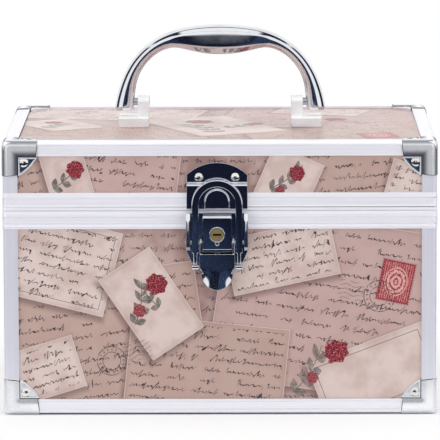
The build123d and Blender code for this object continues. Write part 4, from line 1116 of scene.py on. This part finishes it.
    def build(self) -> None:
        """Sets the whole studio up."""
        bpy.context.scene.view_settings.view_transform = "Standard"
        self.place_camera()
        self.floor()
        self.world()
        self.light("Top softbox", Vector((0.0, -0.15, 1.5)), (1.4, 1.1), 10.2)
        self.light("Left softbox", Vector((-1.3, -1.1, 0.7)), (0.9, 1.2), 5.8)
        self.light("Right softbox", Vector((1.3, -1.1, 0.7)), (0.9, 1.2), 4.8)
        for name, side, half, top in (("front", Vector((0.0, -1.0, 0.0)), 0.32, 0.30),
                                      ("rear", Vector((0.0, 1.0, 0.0)), 0.32, 0.18),
                                      ("left", Vector((-1.0, 0.0, 0.0)), 0.24, 0.80),
                                      ("right", Vector((1.0, 0.0, 0.0)), 0.24, 0.80)):
            middle = side * self.flag_distance + Vector((0.0, 0.0, top / 2 - self.flag_below))
            self.card("Flag " + name, middle, (half, top / 2 + self.flag_below), -side)
        self.card("Flag ground", Vector((0.0, 0.0, 0.001)), (0.95, 0.95), UP)
        self.card("Flag above", Vector((0.0, 0.04, 0.85)), (0.70, 0.28), -UP)
        log.info("studio ready")


# ------------------------------------------------------------------ sub-assemblies
@dataclass
class PrintedPanels:
    """The laminated boards of the body and the lid."""

    roughness: float = 0.30
    paper: Colour = tint(205, 182, 172)

    def lay(self, node: str, name: str, collage: Collage, turn: tuple[float, float, float],
            shift: Place = (0.0, 0.0), specular: float = 0.5) -> None:
        """Lays a collage on one panel.

        Args:
            node: the panel's node.
            name: the finish's name.
            collage: what is printed.
            turn: angles in degrees that lay the panel flat.
            shift: moves the print, in mm.
            specular: strength of the film's shine.
        """
        dress(Print(name, "printed_board", self.paper, roughness=self.roughness, specular=specular,
                    collage=collage, turn=turn, shift=shift), node)

    def dress(self) -> None:
        """Lays the collages on the panels."""
        for part, motifs in (("body", BODY_PRINT), ("lid", LID_PRINT)):
            collage = Collage(part.capitalize() + " collage", motifs)
            for side, turn, shift in (("front", (-90.0, 0.0, 0.0), (0.0, 0.0)),
                                      ("rear", (-90.0, 180.0, 0.0), (7.0, 0.0)),
                                      ("left", (-90.0, 90.0, 0.0), (44.0, 2.0)),
                                      ("right", (-90.0, -90.0, 0.0), (-36.0, -3.0))):
                self.lay(f"{part}_{side}_panel", f"{part} {side} print", collage, turn, shift)
        top = Collage("Top collage", TOP_PRINT)
        self.lay("lid_top_panel", "Top print", top, NOWHERE, specular=1.0)
        self.lay("body_bottom_panel", "Bottom print", top, (180.0, 0.0, 0.0), (9.0, 5.0))


@dataclass
class AluminiumFrame:
    """Rails, posts and the ribbed belt. Sizes in mm."""

    edge_mm: float = 0.12
    crease: float = 3.0
    rail_half_width: float = 119.4
    rail_half_depth: float = 84.4
    groove_width: float = 0.45
    groove_depth: float = 0.35
    rail_skin: float = 0.05
    squareness: float = 0.99
    belt_half_width: float = 119.9
    belt_half_depth: float = 84.9
    belt_corner: float = 2.6
    belt_skin: float = 0.9
    slack: float = 0.01
    # The belt's outer face by height: how far it lies inside the widest line. The raised strips
    # lean back towards their upper edges.
    body_belt: tuple[Place, ...] = (
        (103.9, 0.05), (105.0, 0.0), (106.6, 0.38), (107.1, 0.04), (110.0, 0.04), (110.5, 0.0),
        (112.2, 0.14), (114.0, 0.55))
    lid_belt: tuple[Place, ...] = (
        (114.2, 0.06), (115.9, 0.34), (116.4, 0.0), (117.1, 0.20), (120.9, 0.22), (121.4, 0.06),
        (123.9, 0.42))

    def inset(self, profile: tuple[Place, ...], height: float) -> float:
        """How far the belt's face lies inside its widest line at a height, 0 off the profile."""
        for (low, start), (high, end) in zip(profile, profile[1:]):
            if low - self.slack <= height <= high + self.slack:
                return start + (end - start) * (height - low) / (high - low)
        return 0.0

    def profiled(self, node: str, body: str, profile: tuple[Place, ...]) -> None:
        """Replaces a rim by its own shape with slanted strips along its outer face.

        Args:
            node: the rim's node.
            body: the CAD body it rides on.
            profile: heights, rising, each with the face's distance from the widest line.
        """
        form = merged_copy(node)
        cut_across(form, UP, (height for height, _ in profile))
        for vert in form.verts:
            place = vert.co / MM
            across = abs(place.x) - (self.belt_half_width - self.belt_corner)
            along = abs(place.y) - (self.belt_half_depth - self.belt_corner)
            out = Vector((math.copysign(max(across, 0.0), place.x),
                          math.copysign(max(along, 0.0), place.y), 0.0))
            if out.length >= self.belt_corner - self.belt_skin:
                vert.co -= out.normalized() * self.inset(profile, place.z) * MM
        form.normal_update()
        for edge in form.edges:
            level = abs(edge.verts[0].co.z - edge.verts[1].co.z) < self.slack * MM
            if level and is_sharp(edge, self.crease):
                edge.smooth = False
        finished(form, node, body, RIMS, self.edge_mm)

    def grooved(self, node: str, body: str, levels: tuple[float, ...]) -> None:
        """Replaces a set of rails by its own shape with fine grooves along its faces.

        Args:
            node: the rails' node.
            body: the CAD body they ride on.
            levels: heights of the grooves' middles.
        """
        form = merged_copy(node)
        reach = self.groove_width / 2
        cut_across(form, UP, (level + side for level in levels for side in (-reach, reach)))
        for outward in (Vector((0, -1, 0)), Vector((0, 1, 0)), Vector((-1, 0, 0)), Vector((1, 0, 0))):
            limit = (self.rail_half_depth if outward.y else self.rail_half_width) - self.rail_skin
            strip = []
            for face in form.faces:
                middle = face.calc_center_median() / MM
                near = any(abs(middle.z - level) < reach for level in levels)
                if near and face.normal.dot(outward) > self.squareness and middle.dot(outward) > limit:
                    strip.append(face)
            moved = verts_of(bmesh.ops.extrude_face_region(form, geom=strip))
            bmesh.ops.translate(form, verts=moved, vec=outward * (-self.groove_depth * MM))
            stale = [face for face in strip if face.is_valid]
            bmesh.ops.delete(form, geom=stale, context="FACES_ONLY")
        finished(form, node, body, RAILS, self.edge_mm)

    def build(self) -> None:
        """Finishes the frame."""
        self.profiled("body_rim", "case_body", self.body_belt)
        self.profiled("lid_rim", "lid", self.lid_belt)
        self.grooved("top_edge_rails", "lid", (150.0, 145.6))
        self.grooved("bottom_edge_rails", "case_body", (7.4, 3.0))
        dress(POSTS, "body_corner_posts", "lid_corner_posts")


@dataclass
class RearHinge:
    """Piano hinge."""

    def dress(self) -> None:
        """Finishes the hinge."""
        dress(HINGE, "hinge_leaf_body", "hinge_leaf_lid")
        dress(STEEL, "hinge_pin")
        dress(NICKEL, "hinge_rivets_body", "hinge_rivets_lid")


def sides(points: Sequence[Vector]) -> Iterator[tuple[Vector, Vector]]:
    """Start and inward direction of each straight piece of a flat outline."""
    for start, end in zip(points, points[1:]):
        along = (end - start).normalized()
        yield start, Vector((-along.y, along.x))


@dataclass
class CornerPieces:
    """Pressed chrome corners: a swelling band along each edge and a riveted web. Sizes in mm."""

    half_width: float = 120.0
    half_depth: float = 85.0
    height: float = 153.0
    leg: float = 21.0
    slant: float = 1.0
    inner: float = 9.3
    wall: float = 0.5
    web_bulge: float = 1.2
    edge_radius: float = 3.6
    swell: float = 0.42
    crown: float = 3.4
    corner_fall: float = 0.34
    flange: float = 0.85
    flange_drop: float = 0.54
    web_drop: float = 1.2
    web_rim: float = 0.65
    rim_height: float = 0.5
    step: float = 0.32
    rail_drop: float = 0.62
    panel_drop: float = 1.78
    steps: int = 38
    web_pieces: int = 6
    weld: float = 0.02
    slack: float = 1e-4
    touch: float = 1e-6
    fall_start: float = 1.0
    fall_rate: float = 2.2

    def outline(self) -> list[Vector]:
        """Outer end of the piece on one face, from one leg's edge to the other's."""
        toe = self.leg - self.slant
        band = self.inner - self.wall
        ends = Vector((toe, band)), Vector((band, toe))
        points = [Vector((self.leg, 0.0))]
        for i in range(self.web_pieces + 1):
            share = i / self.web_pieces
            out = self.web_bulge * 4 * share * (1 - share) / math.sqrt(2)
            points.append(ends[0].lerp(ends[1], share) + Vector((out, out)))
        return points + [Vector((0.0, self.leg))]

    def web_edge_distance(self, place: Vector) -> float:
        """How far a point of the web is inside its three edges."""
        gaps = [(place - start).dot(inward) for start, inward in sides(self.outline()[1:-1])]
        return min(place.x - self.inner, place.y - self.inner, *gaps)

    def end_distance(self, u: float, v: float) -> float:
        """How far a point of the band is from the end of its leg."""
        along, across = max(u, v), min(u, v)
        lean = self.slant / (self.inner - self.wall)
        return (self.leg - along - lean * across) / math.hypot(1.0, lean)

    def off_web(self, u: float, v: float) -> float:
        """How far a place is from the square that holds the web."""
        return math.hypot(max(self.inner - u, 0.0), max(self.inner - v, 0.0))

    def zone(self, u: float, v: float) -> int:
        """Which finish a place has: 0 band, 1 web, 2 crease painted dark as shade, 3 edge painted bright
        as a highlight.
        """
        reach = self.off_web(u, v)
        if reach <= self.touch:
            return 3 if self.web_edge_distance(Vector((u, v))) < self.web_rim else 1
        if reach < self.wall:
            return 2
        end = self.end_distance(u, v)
        if end < self.flange:
            return 3
        return 2 if end < self.flange + self.step else 0

    def drop(self, u: float, v: float) -> float:
        """Depth of the sheet below the case's face, u and v from the case's edges."""
        reach = self.off_web(u, v)
        if reach <= self.slack:
            gap = self.web_edge_distance(Vector((u, v))) - self.web_rim
            raised = min(1.0, max(0.0, 1.0 - gap / self.step))
            return self.web_drop - self.rim_height * raised
        low = self.web_drop - self.rim_height
        fall = max(0.0, 1.0 - (reach - self.wall) / self.crown)
        beyond = max(0.0, reach - self.inner + self.fall_start) / self.inner
        height = self.swell * min(fall, 1.0) ** 2 + self.corner_fall * min(1.0, self.fall_rate * beyond)
        end = (self.end_distance(u, v) - self.flange) / self.step
        height += (max(self.flange_drop, height) - height) * min(1.0, max(0.0, 1.0 - end))
        if reach < self.wall:
            return low + (height - low) * reach / self.wall
        return height

    def rounded(self, u: float, v: float, drop: float) -> Vector:
        """Wraps a point of the flat face round the case's edges."""
        radius = self.edge_radius
        heart = Vector((max(u, radius), max(v, radius), radius))
        out = (Vector((u, v, 0.0)) - heart).normalized()
        return heart + out * (radius - drop)

    def face(self) -> bmesh.types.BMesh:
        """One of the three faces, flat: u and v in mm, the depth in z."""
        form = bmesh.new()
        bmesh.ops.create_grid(form, x_segments=self.steps, y_segments=self.steps, size=self.leg / 2)
        bmesh.ops.translate(form, verts=form.verts, vec=(self.leg / 2, self.leg / 2, 0.0))
        points = self.outline()
        for start, inward in sides(points):
            self.cut(form, start, -inward, True)
        for lift in (self.web_rim, self.web_rim + self.step):
            for start, inward in sides(points[1:-1]):
                self.cut(form, start + inward * lift, -inward, False)
        for level in (self.inner, self.inner - self.wall, self.inner + self.web_rim,
                      self.inner + self.web_rim + self.step):
            self.cut(form, Vector((level, 0.0)), Vector((1.0, 0.0)), False)
            self.cut(form, Vector((0.0, level)), Vector((0.0, 1.0)), False)
        lean = Vector((1.0, self.slant / (self.inner - self.wall))).normalized()
        for lift in (self.flange, self.flange + self.step):
            toe = Vector((self.leg, 0.0)) - lean * lift
            self.cut(form, toe, lean, False)
            self.cut(form, toe.yx, lean.yx, False)
        bmesh.ops.remove_doubles(form, verts=form.verts, dist=self.weld)
        rims = [e for e in form.edges if e.is_boundary and not self.on_case_edge(e)]
        for face in form.faces:
            face.material_index = self.zone(*face.calc_center_median().xy)
        for vert in form.verts:
            vert.co.z = self.drop(vert.co.x, vert.co.y)
        for vert in verts_of(bmesh.ops.extrude_edge_only(form, edges=rims)):
            web = min(vert.co.x, vert.co.y) > self.inner - 0.1
            vert.co.z = self.panel_drop if web else max(self.rail_drop, vert.co.z)
        return form

    def on_case_edge(self, edge: bmesh.types.BMEdge) -> bool:
        """Whether an edge of the flat face lies on an edge of the case."""
        return any(all(abs(v.co[axis]) < self.slack for v in edge.verts) for axis in (0, 1))

    def cut(self, form: bmesh.types.BMesh, place: Vector, out: Vector, clear: bool) -> None:
        """Cuts the flat face along a line, dropping what is outside it where clear."""
        bmesh.ops.bisect_plane(form, geom=everything(form), dist=self.slack, plane_co=(*place, 0.0),
                               plane_no=(*out, 0.0), clear_outer=clear)

    def octant(self) -> bmesh.types.BMesh:
        """The whole corner piece in its own octant, mm."""
        form = self.face()
        for vert in form.verts:
            vert.co = self.rounded(*vert.co)
        turn = Matrix(((0.0, 0.0, 1.0), (1.0, 0.0, 0.0), (0.0, 1.0, 0.0))).to_4x4()
        first = everything(form)
        for power in (1, 2):
            verts = verts_of(bmesh.ops.duplicate(form, geom=first))
            bmesh.ops.transform(form, matrix=turn if power == 1 else turn @ turn, verts=verts)
        bmesh.ops.remove_doubles(form, verts=form.verts, dist=self.weld)
        bmesh.ops.reverse_faces(form, faces=form.faces)
        return form

    def build(self) -> None:
        """Makes the eight corners and finishes their rivets."""
        base = self.octant()
        shape = bpy.data.meshes.new("corner_octant")
        base.to_mesh(shape)
        base.free()
        for word_x, side_x in (("left", 1.0), ("right", -1.0)):
            for word_y, side_y in (("front", 1.0), ("rear", -1.0)):
                for word_z, side_z, body in (("bottom", 1.0, "case_body"), ("top", -1.0, "lid")):
                    form = bmesh.new()
                    form.from_mesh(shape)
                    origin = Vector((-self.half_width * side_x, -self.half_depth * side_y,
                                     0.0 if side_z > 0 else self.height))
                    place = Matrix.Diagonal((side_x, side_y, side_z, 1.0))
                    bmesh.ops.transform(form, matrix=Matrix.Translation(origin) @ place, verts=form.verts)
                    bmesh.ops.scale(form, vec=(MM, MM, MM), verts=form.verts)
                    if side_x * side_y * side_z < 0:
                        bmesh.ops.reverse_faces(form, faces=form.faces)
                    name = f"corner_{word_z}_{word_y}_{word_x}"
                    piece = as_piece(form, name + "_pressed", body, BAND, 30.0, (WEB, PAINTED_CREASE_SHADE, PAINTED_HIGHLIGHT_EDGE))
                    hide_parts(name)
        bpy.data.meshes.remove(shape)
        dress(NICKEL, "body_corner_rivets", "lid_corner_rivets")


@dataclass(frozen=True)
class GripSection:
    """One cross-section of the handle, as shares of its named lengths; lens is 0 round, 1 faceted."""

    along: float
    up: float
    tilt: float
    thick: float
    deep: float
    lens: float


@dataclass
class CarryHandle:
    """Chrome bail handle on its two brackets. Lengths in mm."""

    half_span: float = 54.0
    rise: float = 47.6
    foot_width: float = 11.2
    half_depth: float = 8.0
    lid_top: float = 153.0
    edge_mm: float = 0.35
    hard_crease: float = 0.85
    foot_crease: float = 0.9
    foot_share: float = 0.6
    round_swell: float = 1.05
    sections: tuple[GripSection, ...] = (
        GripSection(1.0, 0.143, 0.0, 0.88, 0.50, 0.30),
        GripSection(1.0, 0.178, 0.0, 1.0, 0.575, 0.30),
        GripSection(0.989, 0.284, 2.0, 0.955, 0.575, 0.15),
        GripSection(0.959, 0.462, 10.0, 0.795, 0.588, 0.0),
        GripSection(0.904, 0.625, 25.0, 0.714, 0.625, 0.0),
        GripSection(0.807, 0.784, 42.0, 0.696, 0.688, 0.0),
        GripSection(0.670, 0.915, 57.0, 0.714, 0.775, 0.08),
        GripSection(0.507, 0.994, 68.0, 0.821, 0.875, 0.45),
        GripSection(0.333, 0.996, 78.0, 1.245, 0.95, 0.9),
        GripSection(0.167, 0.990, 84.0, 1.475, 0.988, 1.0),
        GripSection(0.0, 0.990, 90.0, 1.555, 1.0, 1.0),
    )
    # Half of the faceted outline, outward to inward: share of the half thickness, share of the
    # half depth, and whether the lengthwise edge there is a hard one.
    facets: tuple[tuple[float, float, bool], ...] = (
        (1.0, 0.0, False), (0.95, 0.40, False), (0.80, 0.70, False),
        (0.56, 0.93, True), (-0.46, 1.04, True), (-0.97, 0.55, True),
    )
    # The same corners on a round outline, in degrees from outward.
    rounds: tuple[float, ...] = (0.0, 28.0, 54.0, 80.0, 112.0, 148.0)

    def ring(self, lens: float) -> list[tuple[float, float, bool]]:
        """The whole outline of a cross-section, between round and faceted."""
        half = []
        swell = self.round_swell * (1 - lens)
        for (out, deep, hard), turn in zip(self.facets, self.rounds):
            angle = math.radians(turn)
            half.append((out * lens + swell * math.cos(angle),
                         deep * lens + swell * math.sin(angle), hard))
        return [*half, *((out, -deep, hard) for out, deep, hard in reversed(half[1:]))]

    def corner(self, section: GripSection, index: int, side: float) -> Vector:
        """Place of one corner of a cross-section, mm."""
        out, deep, _ = self.ring(section.lens)[index]
        tilt = math.radians(section.tilt)
        outward = Vector((math.cos(tilt), 0.0, math.sin(tilt)))
        middle = Vector((section.along * self.half_span, 0.0, self.lid_top + section.up * self.rise))
        place = middle + outward * (out * section.thick * self.foot_width / 2)
        place.y = deep * section.deep * self.half_depth
        return Vector((place.x * side, place.y, place.z))

    def bar(self) -> bmesh.types.BMesh:
        """The handle's control cage, foot to foot."""
        form = bmesh.new()
        outline = self.ring(1.0)
        count = len(outline)
        bmesh.ops.create_circle(form, segments=count, radius=1.0)
        mark = form.verts.layers.int.new("corner")
        crease = form.edges.layers.float.new("crease_edge")
        share = form.verts.layers.float.new("lens")
        for index, vert in enumerate(form.verts):
            vert[mark] = index
        stations = [(s, 1.0) for s in self.sections] + [(s, -1.0) for s in reversed(self.sections[:-1])]
        newest = list(form.edges)
        for number, (section, side) in enumerate(stations):
            if number:
                grown = bmesh.ops.extrude_edge_only(form, edges=newest)["geom"]
                newest = [g for g in grown if isinstance(g, bmesh.types.BMEdge)]
            for vert in {v for edge in newest for v in edge.verts}:
                vert.co = self.corner(section, vert[mark], side) * MM
                vert[share] = section.lens
        bmesh.ops.holes_fill(form, edges=[e for e in form.edges if e.is_boundary], sides=0)
        bmesh.ops.recalc_face_normals(form, faces=form.faces)
        foot = (self.lid_top + self.sections[1].up * self.rise) * MM + TINY
        aside = self.foot_share * self.half_span * MM
        for edge in form.edges:
            one, two = edge.verts
            if one[mark] == two[mark]:
                hard = outline[one[mark]][2]
                edge[crease] = self.hard_crease * (one[share] + two[share]) / 2 if hard else 0.0
            elif max(one.co.z, two.co.z) < foot and abs(one.co.x) > aside:
                edge[crease] = self.foot_crease
        return form

    def build(self) -> None:
        """Makes the bar and finishes the brackets and pins."""
        grip = as_piece(self.bar(), "handle_bar", "handle", GRIP)
        smooth = grip.modifiers.new("Smooth", "SUBSURF")
        smooth.levels = smooth.render_levels = 3
        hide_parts("handle")
        dress(STEEL, "handle_pins", "bracket_screws")
        for node in ("handle_bracket_left", "handle_bracket_right"):
            finished(merged_copy(node), node, "lid", BRACKETS, self.edge_mm)


@dataclass
class DrawLatch:
    """Keyed latch in front. Sizes in mm."""

    edge_mm: float = 0.25
    bail_edge_mm: float = 0.50
    housing_edge_mm: float = 0.45
    plug_x: float = -1.5
    plug_z: float = 101.7
    housing_front: float = -92.0
    collar: Place = (3.95, 0.36)
    stop: Place = (1.0, 0.30)
    stop_below: float = 4.95
    wire_steps: int = 10
    ring_steps: int = 40
    lever_half: float = 8.6
    dish: float = 2.0
    dish_top: float = 84.0
    dish_fade: float = 9.0
    dish_pitch: float = 1.2
    dish_cuts: int = 7
    dish_rows: int = 12

    def dished_lever(self) -> None:
        """Replaces the lever by its own shape, its lip curling back at both sides."""
        form = merged_copy("latch_lever")
        across, down = range(-self.dish_cuts, self.dish_cuts + 1), range(self.dish_rows)
        cut_across(form, Vector((1.0, 0.0, 0.0)), (self.plug_x + i * self.dish_pitch for i in across))
        cut_across(form, UP, (self.dish_top - i * self.dish_pitch for i in down))
        for vert in form.verts:
            side = (vert.co.x / MM - self.plug_x) / self.lever_half
            share = min(1.0, max(0.0, (self.dish_top - vert.co.z / MM) / self.dish_fade))
            vert.co.y += self.dish * share * share * (3 - 2 * share) * side * side * MM
        finished(form, "latch_lever", "latch_lever", PLATING, self.edge_mm)

    def ring(self, form: bmesh.types.BMesh, size: Place, below: float) -> None:
        """Adds a half-sunk wire ring to the housing's face.

        Args:
            form: the mesh it is added to, in mm.
            size: radius of the ring and of its wire.
            below: how far its middle is below the plug's.
        """
        middle = Vector((self.plug_x, self.housing_front, self.plug_z - below))
        place = Matrix.Translation(middle + Vector((size[0], 0.0, 0.0)))
        made = bmesh.ops.create_circle(form, segments=self.wire_steps, radius=size[1])["verts"]
        bmesh.ops.transform(form, matrix=place, verts=made)
        wire = list({edge for vert in made for edge in vert.link_edges})
        bmesh.ops.spin(form, geom=[*made, *wire], cent=middle, axis=(0.0, 1.0, 0.0), dvec=(0.0, 0.0, 0.0),
                       angle=math.tau, steps=self.ring_steps, use_merge=True, use_duplicate=False)

    def build(self) -> None:
        """Finishes the latch."""
        for node, body, edge_mm in (("latch_base", "case_body", self.edge_mm),
                                    ("lock_housing", "case_body", self.housing_edge_mm),
                                    ("latch_keeper", "lid", self.edge_mm)):
            finished(merged_copy(node), node, body, PLATING, edge_mm)
        self.dished_lever()
        finished(merged_copy("latch_bail"), "latch_bail", "latch_bail", PLATING, self.bail_edge_mm)
        dress(NICKEL, "latch_base_rivets", "keeper_rivets")
        dress(STEEL, "latch_lever_pin", "bail_pin")
        dress(BRASS, "lock_plug")
        form = bmesh.new()
        self.ring(form, self.collar, 0.0)
        self.ring(form, self.stop, self.stop_below)
        bmesh.ops.scale(form, vec=(MM, MM, MM), verts=form.verts)
        bmesh.ops.recalc_face_normals(form, faces=form.faces)
        as_piece(form, "lock_collar", "case_body", PLATING)


@dataclass
class Interior:
    """Lining, trays, their arms and the mirror."""

    def dress(self) -> None:
        """Finishes the inside."""
        dress(LINING, "body_lining", "lid_lining")
        dress(TRAYS, "upper_tray", "lower_tray")
        dress(STEEL, "front_tray_arms", "rear_tray_arms", "drag_links", "tray_arm_studs", "lid_link_studs",
              "lower_tray_studs", "upper_tray_studs")
        dress(GLASS, "lid_mirror")
        dress(CLIPS, "mirror_clips")


def main() -> None:
    """Builds and dresses the whole case."""
    logging.basicConfig(level=logging.INFO, format="%(name)s: %(message)s")
    Studio().build()
    PrintedPanels().dress()
    AluminiumFrame().build()
    CornerPieces().build()
    RearHinge().dress()
    CarryHandle().build()
    DrawLatch().build()
    Interior().dress()


if __name__ == "__main__":
    main()
